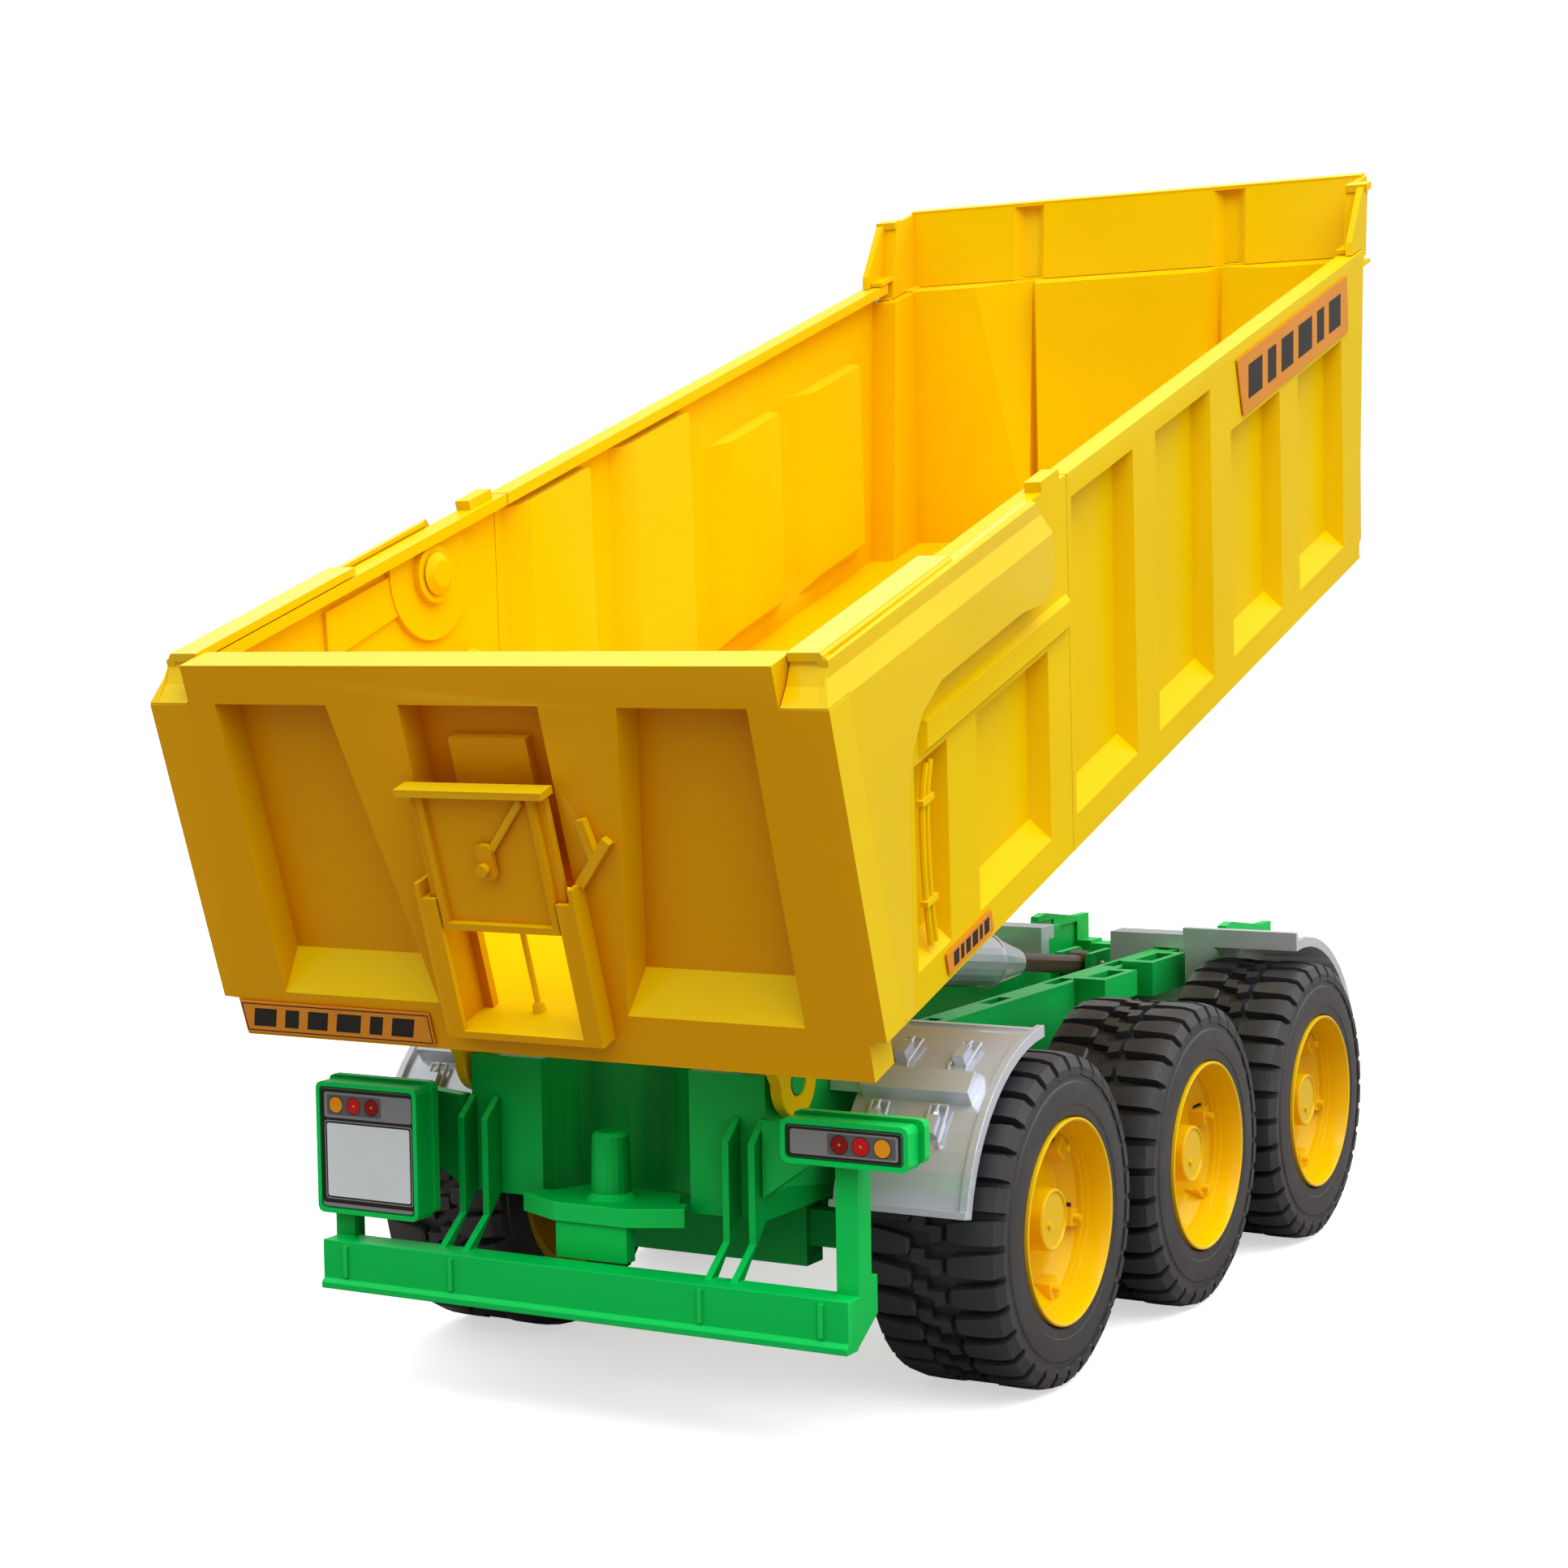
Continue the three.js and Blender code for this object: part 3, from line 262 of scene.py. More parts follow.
def plastic(
    name, colour, rough, coat=0.0, grain_depth=0.02, specular=0.25,
    hollow_shade=(0.8, 0.7, 0.6), reach=0.03, rear=None, rising=(0.15, 0.5),
):
    """Moulded plastic: flow marks, painted shade in hollows, pale edges painted as highlights,
    scuffed gloss, fine grain.

    hollow is painted shade multiplied into the recesses within reach, rear is painted shade
    multiplied into faces that look backwards, and faces that look up by more than rising keep the
    plain colour.
    """
    n = Nodes(name)
    flow = n.noise(14, detail=4).outputs["Fac"]
    base = n.mix(n.ramp(flow, 0.35, 0.7), shade(colour, 0.955), shade(colour, 1.03))
    # Painted highlight: sharp edges, found by pointiness, turn paler.
    edge = n.ramp(n.add("ShaderNodeNewGeometry").outputs["Pointiness"], 0.53, 0.62)
    painted_edge_highlight = n.math("MULTIPLY", edge, 0.3)
    pale = tuple(min(1, c * 1.12 + 0.03) for c in colour) + (1,)
    facing = n.add("ShaderNodeTexCoord").outputs["Normal"]
    normal = n.add("ShaderNodeSeparateXYZ", Vector=facing).outputs
    upward = n.ramp(normal["Z"], *rising)
    # Painted shade: faces that look backwards, and not up, get the rear colour multiplied in.
    if rear:
        rear_shade_mask = n.ramp(n.math("MULTIPLY", normal["Y"], -1.0), 0.55, 0.85)
        behind = n.math("SUBTRACT", rear_shade_mask, upward)
        base = n.mix(behind, base, n.mix(1.0, base, (*rear, 1), blend="MULTIPLY"))
    # Painted shade: recesses found by ambient occlusion get the hollow colour multiplied in, except
    # faces that look up.
    recess = n.add("ShaderNodeAmbientOcclusion", _samples=6, Distance=reach).outputs["AO"]
    painted_hollow_shade = n.mix(1.0, base, (*hollow_shade, 1), blend="MULTIPLY")
    shaded = n.mix(n.math("MAXIMUM", n.ramp(recess, 0.25, 0.95), upward), painted_hollow_shade, base)
    n.set("Base Color", n.mix(painted_edge_highlight, shaded, pale))
    scuff = n.noise(60, detail=6, roughness=0.65).outputs["Fac"]
    n.set("Roughness", n.range(scuff, rough - 0.05, rough + 0.09))
    fine = n.noise(PLASTIC_GRAIN, detail=2).outputs["Fac"]
    broad = n.noise(70, detail=2).outputs["Fac"]
    soft = n.bump(broad, 0.06, 0.0008)
    n.set("Normal", n.bump(fine, grain_depth, 0.0004, soft))
    n.set("Coat Weight", coat)
    n.set("Coat Roughness", 0.06)
    n.set("Specular IOR Level", specular)
    return n.material


def silver_plastic(name):
    """Grey plastic filled with fine metal flake."""
    n = Nodes(name)
    flake = n.add("ShaderNodeTexVoronoi", Vector=n.place(), Scale=2600).outputs["Color"]
    swirl = n.noise(22, detail=5).outputs["Fac"]
    base = n.mix(n.ramp(swirl, 0.3, 0.72), SILVER_DARK, SILVER_PALE)
    n.set("Base Color", n.mix(0.06, base, flake))
    n.set("Metallic", 0.3)
    n.set("Roughness", n.range(n.noise(40, detail=3).outputs["Fac"], 0.17, 0.25))
    n.set("Normal", n.bump(n.noise(60).outputs["Fac"], 0.02, 0.0005))
    n.set("Coat Weight", 0.5)
    n.set("Coat Roughness", 0.04)
    return n.material


def rubber(name):
    """Tyre rubber with dust in patches and a fine bloom."""
    n = Nodes(name)
    dust = n.noise(45, detail=6, roughness=0.7).outputs["Fac"]
    n.set("Base Color", n.mix(n.ramp(dust, 0.45, 0.8), RUBBER_CLEAN, RUBBER_DUSTY))
    n.set("Roughness", n.range(n.noise(130, detail=5).outputs["Fac"], 0.32, 0.48))
    n.set("Normal", n.bump(n.noise(1500, detail=3).outputs["Fac"], 0.16, 0.0003))
    n.set("Specular IOR Level", 0.62)
    return n.material


def steel(name):
    """Steel brushed along X."""
    n = Nodes(name)
    stretch = n.add("ShaderNodeMapping", Vector=n.place())
    stretch.inputs["Scale"].default_value = (40, 900, 900)
    brushed = n.noise(6, detail=4, vector=stretch.outputs[0]).outputs["Fac"]
    n.set("Base Color", n.mix(n.ramp(brushed, 0.3, 0.7), STEEL_DARK, STEEL_PALE))
    n.set("Metallic", 1.0)
    n.set("Roughness", n.range(brushed, 0.2, 0.42))
    n.set("Normal", n.bump(brushed, 0.06, 0.0002))
    return n.material


def film(name, colour, rough=0.38):
    """Printed self-adhesive film."""
    n = Nodes(name)
    print_grain = n.noise(1800, detail=2).outputs["Fac"]
    wash = n.noise(30, detail=3).outputs["Fac"]
    base = n.mix(n.ramp(wash, 0.3, 0.7), shade(colour, 0.95), shade(colour, 1.04))
    n.set("Base Color", n.mix(n.math("MULTIPLY", print_grain, 0.08), base, shade(colour, 0.8)))
    n.set("Roughness", n.range(n.noise(90).outputs["Fac"], rough - 0.05, rough + 0.07))
    n.set("Normal", n.bump(n.noise(260).outputs["Fac"], 0.05, 0.0003))
    n.set("Specular IOR Level", 0.2)
    return n.material


YELLOW_BASE = (0.97, 0.66, 0.0)
# Painted shade, multiplied into the yellow's recesses.
YELLOW_HOLLOW_SHADE = (0.95, 0.78, 0.6)
YELLOW = plastic("yellow_plastic", YELLOW_BASE, 0.27, specular=0.04, hollow_shade=YELLOW_HOLLOW_SHADE)
YELLOW_GLOSS = plastic(
    "yellow_gloss_plastic", YELLOW_BASE, 0.16,
    coat=0.3, grain_depth=0.004, specular=0.08, hollow_shade=YELLOW_HOLLOW_SHADE,
)
# A shaded copy of the yellow for the gate: stronger painted shade in its recesses and on faces that
# look backwards.
YELLOW_GATE_SHADED = plastic(
    "yellow_gate_shaded_plastic", YELLOW_BASE, 0.22,
    specular=0.1, hollow_shade=(0.76, 0.44, 1.0), rear=(0.92, 0.64, 1.0), rising=(-0.25, -0.05),
)
# The rims carry a lighter painted shade in their recesses.
YELLOW_RIM = plastic(
    "yellow_rim_plastic", (0.98, 0.62, 0.0), 0.2,
    coat=0.3, grain_depth=0.006, specular=0.12, hollow_shade=(0.9, 0.7, 0.6),
)
# The green carries a strong, far-reaching painted shade in its recesses.
GREEN = plastic(
    "green_plastic", (0.0, 0.76, 0.125), 0.3, specular=0.16, hollow_shade=(0.35, 0.35, 0.3), reach=0.08
)
SILVER = silver_plastic("silver_plastic")
BROWN = plastic("brown_plastic", (0.12, 0.07, 0.045), 0.36)
STEEL = steel("steel")
RUBBER = rubber("tyre_rubber")
LABEL = film("orange_film", (0.85, 0.31, 0.02))
INK = film("dark_ink", (0.02, 0.018, 0.016))
PALE = film("pale_film", (0.8, 0.86, 0.91))
GREY_FILM = film("grey_film", (0.26, 0.27, 0.29))
DARK_GREY_FILM = film("dark_grey_film", (0.12, 0.125, 0.13))
RED_LAMP = film("red_lamp_film", (0.66, 0.01, 0.015), 0.2)
DARK_RED_LAMP = film("dark_red_lamp_film", (0.3, 0.005, 0.01), 0.2)
AMBER_LAMP = film("amber_lamp_film", (0.93, 0.36, 0.01), 0.2)
SLOT_LOOKS = {
    "yellow_plastic": YELLOW, "green_plastic": GREEN, "silver_plastic": SILVER,
    "brown_plastic": BROWN, "steel": STEEL, "tyre": RUBBER, "orange_label": LABEL,
    "pale_sticker": GREY_FILM,
}
SPECIAL_LOOKS = {"tailgate_arm_right": YELLOW_GLOSS, "tailgate_arm_left": YELLOW_GLOSS}
SPECIAL_LOOKS.update({name: YELLOW_GATE_SHADED for name in ("tailgate", "hatch_door", "hatch_latch")})
WELD_DISTANCE = 0.000002  # metres, as is the next
EDGE_RADIUS = 0.00035
EDGE_ANGLE = math.radians(34)  # flatter edges stay as they are


def finish_cad_nodes():
    """Each CAD node gets its slot's look, and moulded or turned edges get a small radius."""
    slots = {row["node"]: row["material_slot"] for row in record["subparts"]}
    for name, obj in nodes.items():
        obj.data.materials.clear()
        obj.data.materials.append(SPECIAL_LOOKS.get(name, SLOT_LOOKS[slots[name]]))
        weld = obj.modifiers.new("weld", "WELD")
        weld.merge_threshold = WELD_DISTANCE
        bevel = obj.modifiers.new("bevel", "BEVEL")
        bevel.width = EDGE_RADIUS
        bevel.segments = 2
        bevel.limit_method = "ANGLE"
        bevel.angle_limit = EDGE_ANGLE
        bevel.harden_normals = False
        bevel.miter_outer = "MITER_ARC"
        smooth = obj.modifiers.new("normals", "WEIGHTED_NORMAL")
        smooth.keep_sharp = True


# ------------------------------------------------------------------ mesh helpers
def piece(name, verts, faces, material, body, smooth_deg=35):
    """A mesh object made from millimetre points, riding on a body."""
    mesh = bpy.data.meshes.new(name)
    mesh.from_pydata([Vector(v) * MM for v in verts], [], faces)
    mesh.validate()
    work = bmesh.new()
    work.from_mesh(mesh)
    bmesh.ops.recalc_face_normals(work, faces=work.faces)
    work.to_mesh(mesh)
    work.free()
    mesh.materials.append(material)
    obj = bpy.data.objects.new(name, mesh)
    bpy.context.scene.collection.objects.link(obj)
    for polygon in mesh.polygons:
        polygon.use_smooth = True
    mesh.set_sharp_from_angle(angle=math.radians(smooth_deg))
    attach(obj, body)
    return obj


class Shape:
    """Collects points and faces of one piece, in millimetres."""

    def __init__(self):
        self.verts = []
        self.faces = []

    def ring_strip(self, rings, cap=False, close_rings=False):
        """Joins successive rings of equal length with quads."""
        start = len(self.verts)
        count = len(rings[0])
        for ring in rings:
            self.verts.extend(ring)
        last = len(rings) if close_rings else len(rings) - 1
        for i in range(last):
            a0 = start + i * count
            b0 = start + ((i + 1) % len(rings)) * count
            for j in range(count):
                k = (j + 1) % count
                self.faces.append((a0 + j, a0 + k, b0 + k, b0 + j))
        if cap:
            self.faces.append(tuple(start + j for j in reversed(range(count))))
            end = start + (len(rings) - 1) * count
            self.faces.append(tuple(end + j for j in range(count)))

    def turned(self, profile, segments):
        """A closed profile of (radius, x) turned about the X axis."""
        rings = []
        for i in range(segments):
            a = 2 * math.pi * i / segments
            rings.append([(x, r * math.cos(a), r * math.sin(a)) for r, x in profile])
        self.ring_strip(rings, close_rings=True)

    def prism(self, near, far):
        """A solid between two outlines with equally many corners."""
        self.ring_strip([near, far], cap=True)

    def rod(self, start, end, radius, segments, end_radius=None):
        """A round bar, or a cone, between two points."""
        start, end = Vector(start), Vector(end)
        aside = (end - start).orthogonal().normalized()
        across = (end - start).cross(aside).normalized()
        rings = []
        for centre, r in ((start, radius), (end, radius if end_radius is None else end_radius)):
            ring = []
            for i in range(segments):
                angle = 2 * math.pi * i / segments
                out, over = r * math.cos(angle), r * math.sin(angle)
                ring.append(tuple(centre + aside * out + across * over))
            rings.append(ring)
        self.ring_strip(rings, cap=True)

    def moved(self, function):
        """The same shape with every point sent through a function."""
        self.verts = [function(*v) for v in self.verts]
        return self


def mirrored(shape):
    """The shape's mirror image in X."""
    other = Shape()
    other.verts = [(-x, y, z) for x, y, z in shape.verts]
    other.faces = [tuple(reversed(f)) for f in shape.faces]
    return other


ROW_SHIFT = 153.785  # from the rear axle to the middle of the footprint
TIP = math.radians(18.2)
HINGE_Y, HINGE_Z = -57.0, 82.0  # the bed's hinge on the chassis
HINGE_U, HINGE_V = 33.5, -19.8  # the same hinge in the bed's own directions


def on_frame(x, y, z):
    """A point of the chassis, with y measured from the rear axle."""
    return (x, y - ROW_SHIFT, z)


def on_bed(x, u, v):
    """A point of the tipped bed: u forward from the tailgate's face, v up from its lower edge."""
    du, dv = u - HINGE_U, v - HINGE_V
    y = HINGE_Y + du * math.cos(TIP) - dv * math.sin(TIP)
    z = HINGE_Z + du * math.sin(TIP) + dv * math.cos(TIP)
    return on_frame(x, y, z)


def prism_on_bed(shape, outline, x0, x1):
    """A solid across the bed, from an outline in the bed's own directions."""
    shape.prism(*([on_bed(x, u, v) for u, v in outline] for x in (x0, x1)))


def both_sides(name, shape, material, body):
    """The right-hand piece as drawn and its mirror image on the left."""
    for side, made in (("right", shape), ("left", mirrored(shape))):
        piece(f"{name}_{side}", made.verts, made.faces, material, body)


def wheel_centre(axle, side):
    """The middle of a CAD tyre, in millimetres."""
    low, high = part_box(f"tyre_{axle}_{side}")
    return (low + high) / 2 / MM


# ------------------------------------------------------------------ tyres
LUGS = 32
LUG_PITCH = 2 * math.pi / LUGS
LUG_DRAFT = 0.05 * LUG_PITCH  # how far a lug's foot spreads on each side
CARCASS_SEGMENTS = 104
CARCASS_HALF = [  # radius and distance from the wheel's middle plane, from the bead to the tread
    (25.55, 17.4), (26.3, 18.3), (28.4, 18.35), (28.7, 18.55), (31.5, 18.6), (34.0, 18.35),
    (34.5, 17.95), (36.0, 17.9), (36.4, 18.25), (36.9, 18.2), (37.3, 16.8), (37.9, 13.6),
    (38.4, 9.0), (38.6, 4.0),
]
CARCASS_INSIDE = [(26.4, 15.8), (26.4, -15.8)]
# From the middle outwards: x, base radius, top radius, and start and end as shares of the pitch.
LUG_STATIONS = [
    (4.8, 38.0, 40.9, 0.30, 0.62), (5.6, 38.0, 41.3, 0.21, 0.74), (10.0, 38.0, 41.35, 0.12, 0.77),
    (14.0, 37.4, 41.2, 0.06, 0.77), (16.8, 36.6, 40.5, 0.03, 0.76), (18.3, 36.0, 37.9, 0.02, 0.75),
]
MIDDLE_BLOCK = [  # x and share of the pitch, around the stepped block between the rows of lugs
    (-4.4, 0.04), (-0.8, 0.04), (-0.8, 0.32), (3.6, 0.32),
    (3.6, 0.74), (0.6, 0.86), (0.6, 0.58), (-4.4, 0.46),
]
MIDDLE_SHARE = 0.45  # where the middle block is centred along the pitch
MIDDLE_LEVELS = ((38.2, 0.35), (41.0, 0.0))  # radius, and growth at the foot


def on_tyre(x, angle, r):
    """A point of a tyre, x from its middle plane."""
    return (x, r * math.cos(angle), r * math.sin(angle))


def add_lug(shape, side, origin):
    """One lug, lofted from the middle of the tread to the side wall."""
    rings = []
    for x, low, top, start, end in LUG_STATIONS:
        a0, a1 = origin + LUG_PITCH * start, origin + LUG_PITCH * end
        corners = [
            on_tyre(side * x, a0 - LUG_DRAFT, low), on_tyre(side * x, a0, top),
            on_tyre(side * x, a1, top), on_tyre(side * x, a1 + LUG_DRAFT, low),
        ]
        rings.append(corners if side > 0 else corners[::-1])
    shape.ring_strip(rings, cap=True)


def add_middle_block(shape, origin):
    """The stepped block between the two rows of lugs, a little wider at its foot."""
    rings = []
    for r, grow in MIDDLE_LEVELS:
        ring = []
        for x, share in MIDDLE_BLOCK:
            angle = origin + LUG_PITCH * share + (share - MIDDLE_SHARE) * grow * 0.02
            ring.append(on_tyre(x + math.copysign(grow, x), angle, r))
        rings.append(ring)
    shape.ring_strip(rings, cap=True)


def tyre_shape():
    """The whole tyre: turned carcass, two rows of lugs half a pitch apart, blocks between."""
    shape = Shape()
    near = [(r, -x) for r, x in CARCASS_HALF]
    far = [(r, x) for r, x in reversed(CARCASS_HALF)]
    shape.turned(near + far + CARCASS_INSIDE, CARCASS_SEGMENTS)
    for side in (-1, 1):
        for k in range(LUGS):
            add_lug(shape, side, LUG_PITCH * (k + (0.5 if side < 0 else 0)))
    for k in range(LUGS):
        add_middle_block(shape, LUG_PITCH * k)
    return shape


# ------------------------------------------------------------------ wheel rims
PAD_R = 20.0  # from the axle to the middle of a pad
PAD_FOOT_X, PAD_X = 6.4, 10.95  # feet and faces of the pads, from the wheel's middle plane
PAD_CORNERS = [(PAD_R - 2.3, -2.3), (PAD_R + 2.2, -2.3), (PAD_R + 2.2, 2.3), (PAD_R - 2.3, 2.3)]
PAD_FLARE = 1.06  # a pad's foot against its face
PAD_ANGLES = [60 * k - 10 for k in range(6)]  # degrees
HOLE_CORNERS = ((18.75, 2.45), (21.0, 2.45), (20.8, 3.9), (18.75, 4.2))
HOLE_LIFTS = (-0.3, 0.12)  # back and front of the dark patches painted as the shade in the openings, from the dish
DISH_R, DISH_X, DISH_SLOPE = 18.6, 7.5, 0.735  # where the bowl's cone starts, and its slope
CAP_X = 13.95  # face of the hub cap
RIM_SEGMENTS = 96
RIM_PATH = [  # radius and x: hub cap, hub, dish, stepped bowl, flange, barrel, and the bore behind
    (6.3, CAP_X), (6.7, CAP_X), (6.85, 14.3), (7.15, 14.4), (7.5, 14.3), (7.72, 14.0), (7.78, 13.5),
    (7.95, 8.2), (8.15, 7.2), (8.7, 6.4), (9.6, 6.05), (12.5, 6.05), (16.0, 6.4), (17.9, 6.75),
    (18.35, 7.0), (18.6, 7.4), (22.0, 9.9), (22.3, 10.4),
    (22.4, 11.65), (22.5, 11.95), (22.95, 12.1), (23.05, 13.05), (23.15, 13.3), (23.55, 13.4),
    (24.0, 16.0), (24.45, 18.0), (24.65, 18.75), (24.95, 19.0), (25.25, 19.0), (25.5, 18.85),
    (25.54, 18.4), (25.45, 17.2), (25.45, -17.2), (25.1, -17.4), (23.4, -17.4), (20.5, 5.1),
    (17.5, 3.1), (6.0, 1.6), (6.0, -18.8), (2.9, -18.8), (2.85, 10.9),
]
WHEEL_TURNS = {"rear": 0.0, "middle": 0.55, "front": 1.0}  # radians, so the axles look different


def radial(r, degrees, across=0.0):
    """A (y, z) point at a radius and angle, moved across the radius."""
    a = math.radians(degrees)
    return (r * math.cos(a) - across * math.sin(a), r * math.sin(a) + across * math.cos(a))


def rim_body():
    """The rim as one turned solid."""
    shape = Shape()
    rings = []
    for r, x in RIM_PATH:
        rings.append([(x, *radial(r, 360 * i / RIM_SEGMENTS)) for i in range(RIM_SEGMENTS)])
    shape.ring_strip(rings, cap=True)
    return shape


def rim_lugs():
    """Six square pads with their wheel nuts, and the nub on the hub cap."""
    shape = Shape()
    base = [(PAD_R + (r - PAD_R) * PAD_FLARE, w * PAD_FLARE) for r, w in PAD_CORNERS]
    for angle in PAD_ANGLES:
        shape.prism(
            [(PAD_FOOT_X, *radial(r, angle, w)) for r, w in base],
            [(PAD_X, *radial(r, angle, w)) for r, w in PAD_CORNERS],
        )
        middle = radial(PAD_R, angle)
        shape.rod((PAD_X - 0.1, *middle), (PAD_X + 1.7, *middle), 1.1, 16, end_radius=0.95)
    nub = radial(2.6, 200)
    shape.rod((CAP_X - 0.1, *nub), (CAP_X + 0.7, *nub), 0.8, 14)
    return shape


def rim_hole_shade():
    """Dark patches of painted shade in the dish's openings, beside each pad."""
    shape = Shape()
    cone = [DISH_X + (r - DISH_R) * DISH_SLOPE for r, _ in HOLE_CORNERS]
    for angle in PAD_ANGLES:
        back, front = (
            [(x + lift, *radial(r, angle, w)) for x, (r, w) in zip(cone, HOLE_CORNERS)]
            for lift in HOLE_LIFTS
        )
        shape.prism(back, front)
    return shape


def on_axle(verts, centre, turn):
    """Points of a wheel, turned about its axle and moved to its centre."""
    c, s = math.cos(turn), math.sin(turn)
    return [
        (centre.x + x, centre.y + y * c - z * s, centre.z + y * s + z * c) for x, y, z in verts
    ]


def build_wheels():
    """Each wheel's tyre and rim, which stand for the CAD ones, the pads, and painted shade in the
    holes.
    """
    parts = (
        ("tyre", tyre_shape(), RUBBER, "tyre"),
        ("rim", rim_body(), YELLOW_RIM, "yellow_plastic"),
        ("rim_lugs", rim_lugs(), YELLOW_RIM, "yellow_plastic"),
        # Dark patches painted as the shade inside the rim's holes.
        ("rim_hole_shade", rim_hole_shade(), INK, "tyre"),
    )
    for axle, turn in WHEEL_TURNS.items():
        for side, sign in SIDES.items():
            centre = wheel_centre(axle, side)
            for kind, source, look, slot in parts:
                shape = source if sign > 0 else mirrored(source)
                verts = on_axle(shape.verts, centre, turn)
                name, body = f"{kind}_detail_{axle}_{side}", f"wheel_{axle}_{side}"
                made = piece(name, verts, shape.faces, look, body, smooth_deg=24)
                if kind in ("tyre", "rim"):
                    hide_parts(f"{kind}_{axle}_{side}")


# ------------------------------------------------------------------ mudguard clips
GUARD_R = 47.5  # mudguard radius about its axle
AXLE_Z = 41.5
AXLE_PITCH = 92
CLIP_XS = (57.2, 72.8)
CLIP_DEGREES = (62.5, 36.5)  # above level, seen from the axle
CLIP_BLOCK = ((-2.0, 0.9), (-0.4, 2.9), (-2.6, 2.2))  # its reach across, outwards and upwards
BOLT_PLACE = (-0.5, 1.5)  # across and outwards
BOLT_STEPS = (  # from, to, radius, segments
    (2.1, 3.0, 1.15, 8), (3.0, 3.7, 0.85, 10), (3.7, 5.4, 0.5, 10),
)
WIRE_R, WIRE_OUT = 0.42, 1.1
WIRE_ACROSS = (-2.6, 1.9)
WIRE_LOW, WIRE_TOP = -4.2, 5.4
WIRE_FOOT = (-0.6, -5.0)  # outwards and upwards, where each leg goes into the mudguard


def guard_clip(shape, metal, axle_y, turn, x, degrees):
    """A small bolted block and a bent wire clip, standing on a mudguard at an angle above level."""
    a = math.radians(degrees)
    outward = Vector((0, turn * math.cos(a), math.sin(a)))
    upward = Vector((0, -turn * math.sin(a), math.cos(a)))
    foot = Vector((x, axle_y, AXLE_Z)) + outward * GUARD_R

    def at(dx, out, up):
        return tuple(foot + Vector((dx, 0, 0)) + outward * out + upward * up)

    across, (inner, outer), (low, high) = CLIP_BLOCK
    near, far = (
        [at(dx, inner, low), at(dx, outer, low), at(dx, outer, high), at(dx, inner, high)]
        for dx in across
    )
    shape.prism(near, far)
    for start, end, radius, segments in BOLT_STEPS:
        metal.rod(at(*BOLT_PLACE, start), at(*BOLT_PLACE, end), radius, segments)
    for dx in WIRE_ACROSS:
        metal.rod(at(dx, WIRE_OUT, WIRE_LOW), at(dx, WIRE_OUT, WIRE_TOP), WIRE_R, 10)
        metal.rod(at(dx, WIRE_OUT, WIRE_LOW), at(dx, *WIRE_FOOT), WIRE_R, 10)
    metal.rod(*(at(dx, WIRE_OUT, WIRE_TOP) for dx in WIRE_ACROSS), WIRE_R, 10)


def build_clips():
    """Four clips on each rear and front mudguard."""
    for name, axle_y, turn in (("rear", 0, -1), ("front", 2 * AXLE_PITCH, 1)):
        blocks, metal = Shape(), Shape()
        for x in CLIP_XS:
            for degrees in CLIP_DEGREES:
                guard_clip(blocks, metal, axle_y, turn, x, degrees)
        for kind, shape in (("clip_blocks", blocks), ("clip_wires", metal)):
            shape.moved(on_frame)
            both_sides(f"{kind}_{name}", shape, SILVER, "chassis")


# ------------------------------------------------------------------ stickers
STICKER_Y = -84.9  # outer face of the plain stickers
LAYER = 0.03  # how far one printed layer stands over the one below
PLATE_PRINTS = (  # name, left, right, bottom, top, corner radius, layer, look
    ("plate_border", -72.8, -44.7, 48.0, 76.3, 0.8, 0.6, INK),
    ("plate_strip", -71.9, -45.5, 69.2, 75.5, 0.6, 1.2, GREY_FILM),
    ("plate_lamp_field", -71.0, -54.6, 69.9, 74.9, 0.5, 1.8, DARK_GREY_FILM),
    ("plate_line", -71.9, -45.5, 49.0, 68.5, 0.7, 1.2, GREY_FILM),
    ("plate_line_gap", -71.6, -45.8, 49.3, 68.2, 0.6, 1.6, INK),
    ("plate_blank", -71.2, -46.2, 49.7, 67.8, 0.5, 2.0, PALE),
)
PLATE_LAMPS = ((-68.3, AMBER_LAMP), (-62.9, RED_LAMP), (-57.5, DARK_RED_LAMP))
LAMP_PRINTS = (
    ("lamp_border", 58.7, 87.5, 70.5, 77.3, 0.7, 0.6, INK),
    ("lamp_strip", 59.5, 86.7, 71.1, 76.7, 0.6, 1.2, GREY_FILM),
    ("lamp_field", 69.0, 86.1, 71.5, 76.3, 0.5, 1.8, DARK_GREY_FILM),
)
LAMP_LAMPS = ((72.0, DARK_RED_LAMP), (77.4, RED_LAMP), (82.8, AMBER_LAMP))


def rounded(x0, x1, z0, z1, r):
    """A rectangle with round corners."""
    corners = (
        (x1 - r, z0 + r, -90), (x1 - r, z1 - r, 0), (x0 + r, z1 - r, 90), (x0 + r, z0 + r, 180),
    )
    points = []
    for cx, cz, start in corners:
        for step in range(5):
            a = math.radians(start + 22.5 * step)
            points.append((cx + r * math.cos(a), cz + r * math.sin(a)))
    return points


def print_layer(name, outlines, layer, material):
    """Flat printed areas on a lamp or plate sticker; higher layers lie on lower ones."""
    shape = Shape()
    for outline in outlines:
        back, front = (
            [on_frame(x, y, z) for x, z in outline]
            for y in (STICKER_Y + 0.05, STICKER_Y - LAYER * layer)
        )
        shape.prism(back, front)
    piece(name, shape.verts, shape.faces, material, "chassis")


def disc(x, z, r):
    """A circle of 28 points."""
    angles = [i * math.pi / 14 for i in range(28)]
    return [(x + r * math.cos(a), z + r * math.sin(a)) for a in angles]


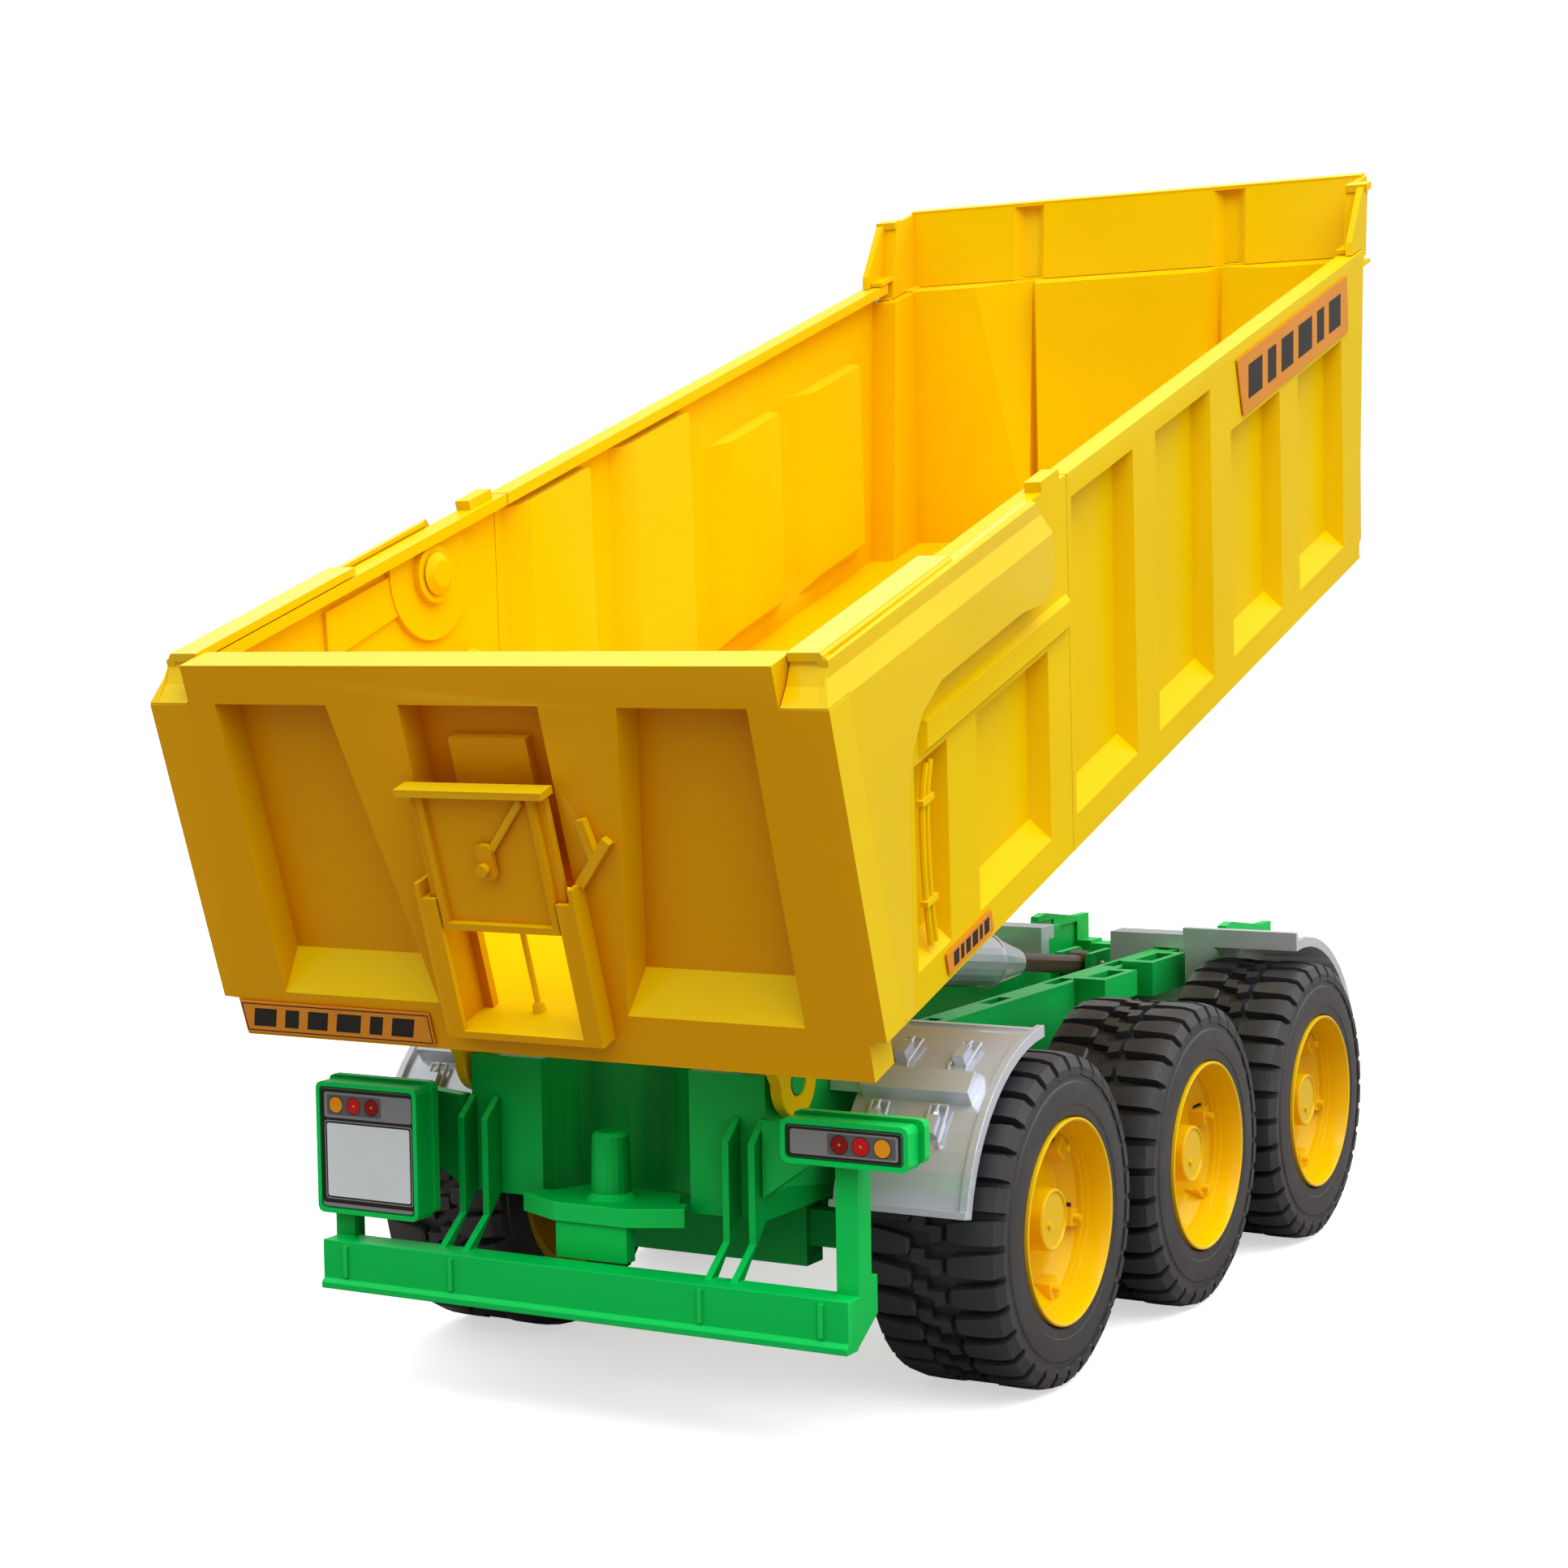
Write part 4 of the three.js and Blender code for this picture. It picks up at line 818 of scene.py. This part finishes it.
def print_lamps(name, lamps, z, r):
    """Round lamps with dark rims and a small glint in the middle."""
    print_layer(f"{name}_rims", [disc(x, z, r + 0.2) for x, _ in lamps], 2.4, INK)
    for i, (x, look) in enumerate(lamps):
        print_layer(f"{name}_{i}", [disc(x, z, r)], 2.8, look)
    print_layer(f"{name}_glints", [disc(x, z, 0.3) for x, _ in lamps], 3.0, AMBER_LAMP)


def build_stickers():
    """The printed areas of the plate sticker and of the lamp sticker."""
    for prints, name, lamps, lamp_z, lamp_r in (
        (PLATE_PRINTS, "plate_lamp", PLATE_LAMPS, 72.4, 1.95),
        (LAMP_PRINTS, "lamp", LAMP_LAMPS, 73.9, 2.05),
    ):
        for area, *box, layer, look in prints:
            print_layer(area, [rounded(*box)], layer, look)
        print_lamps(name, lamps, lamp_z, lamp_r)


# ------------------------------------------------------------------ labels
BAR_WIDTHS = (9.0, 5.5, 8.0, 9.5, 5.0, 8.5)
BAR_SPAN = 66  # the length of label that the widths are for
SIDE_PRINT_X = (86.6, 86.76)
GATE_PRINT_U = (-0.6, -0.76)
GATE_LABEL = [(-86.2, 1), (-29.5, 1), (-29.5, 9.4), (-86.2, 9.4)]


def frame_lines(outline, inset, width):
    """Four thin strips just inside a four-cornered label."""
    middle = [sum(p[i] for p in outline) / 4 for i in (0, 1)]

    def shrunk(amount):
        return [
            tuple(value - math.copysign(amount, value - mid) for value, mid in zip(point, middle))
            for point in outline
        ]

    outer, inner = shrunk(inset), shrunk(inset + width)
    return [[outer[i], outer[(i + 1) % 4], inner[(i + 1) % 4], inner[i]] for i in range(4)]


def slanted_bars(a0, a1, low, high, slant):
    """Plain slanted bars of uneven width, in place of lettering."""
    gap = (a1 - a0 - slant - sum(BAR_WIDTHS) * (a1 - a0) / BAR_SPAN) / (len(BAR_WIDTHS) - 1)
    bars = []
    start = a0
    for width in BAR_WIDTHS:
        end = start + width * (a1 - a0) / BAR_SPAN
        bars.append([(start, low), (end, low), (end + slant, high), (start + slant, high)])
        start = end + gap
    return bars


def build_labels():
    """The bars on the side labels, the sill labels and the tailgate's label."""
    shapes = (
        ("side_label_print", slanted_bars(267, 353, 78, 87, 3.0)),
        ("sill_label_print", slanted_bars(43.5, 64, 7.4, 10.6, 0.9)),
    )
    for name, outlines in shapes:
        shape = Shape()
        for outline in outlines:
            prism_on_bed(shape, outline, *SIDE_PRINT_X)
        both_sides(name, shape, INK, "tipper")
    shape = Shape()
    for outline in frame_lines(GATE_LABEL, 0.5, 0.25) + slanted_bars(-83.5, -34, 2.8, 7.6, 1.6):
        shape.prism(*([on_bed(x, u, v) for x, v in outline] for u in GATE_PRINT_U))
    piece("tailgate_label_print", shape.verts, shape.faces, INK, "gate")


# ------------------------------------------------------------------ seams and the hatch's rod
HEADBOARD_SEAM = ((397, 88.3), (398.3, 88.3), (398.3, 89), (397, 89))
SEAMS = (  # name, look, body, x from and to, outline
    (
        "headboard_corner_seam", YELLOW, "tipper", 76, 80,
        [(390, 88), (397.6, 88), (397.6, 89), (390, 89)],
    ),
    (
        "headboard_end_seam", YELLOW, "tipper", 79.2, 84.2,
        [(379, 87.9), (391.4, 87.9), (391.4, 89), (379, 89)],
    ),
    (
        "gate_edge_seam", YELLOW_GLOSS, "gate", 88.9, 91.16,
        [(9.3, 11), (10.1, 11), (10.1, 86.4), (9.3, 86.4)],
    ),
    (
        "gate_corner_seam", YELLOW_GLOSS, "gate", 79.9, 91.12,
        [(0.08, 86), (9.4, 86), (9.4, 86.7), (0.3, 86.7)],
    ),
)
ROD_X, ROD_U = -3.4, 7.2  # where the hatch's guide rod stands


def build_seams():
    """Joint strips that close the hairline gaps between pieces moulded to look like one."""
    board = Shape()
    prism_on_bed(board, HEADBOARD_SEAM, -79, 79)
    piece("headboard_seam", board.verts, board.faces, YELLOW, "tipper")
    for name, look, body, x0, x1, outline in SEAMS:
        shape = Shape()
        prism_on_bed(shape, outline, x0, x1)
        both_sides(name, shape, look, body)


def build_hatch_rod():
    """Upright guide rod with a round foot, seen through the hatch opening."""
    shape = Shape()
    shape.rod(on_bed(ROD_X, ROD_U, 8.1), on_bed(ROD_X, ROD_U, 42), 0.75, 14)
    shape.rod(on_bed(ROD_X, ROD_U, 8.0), on_bed(ROD_X, ROD_U, 10.2), 1.7, 18, end_radius=1.3)
    piece("hatch_guide_rod", shape.verts, shape.faces, YELLOW, "gate")


add_camera()
add_stage()
finish_cad_nodes()
build_wheels()
build_clips()
build_stickers()
build_labels()
build_seams()
build_hatch_rod()
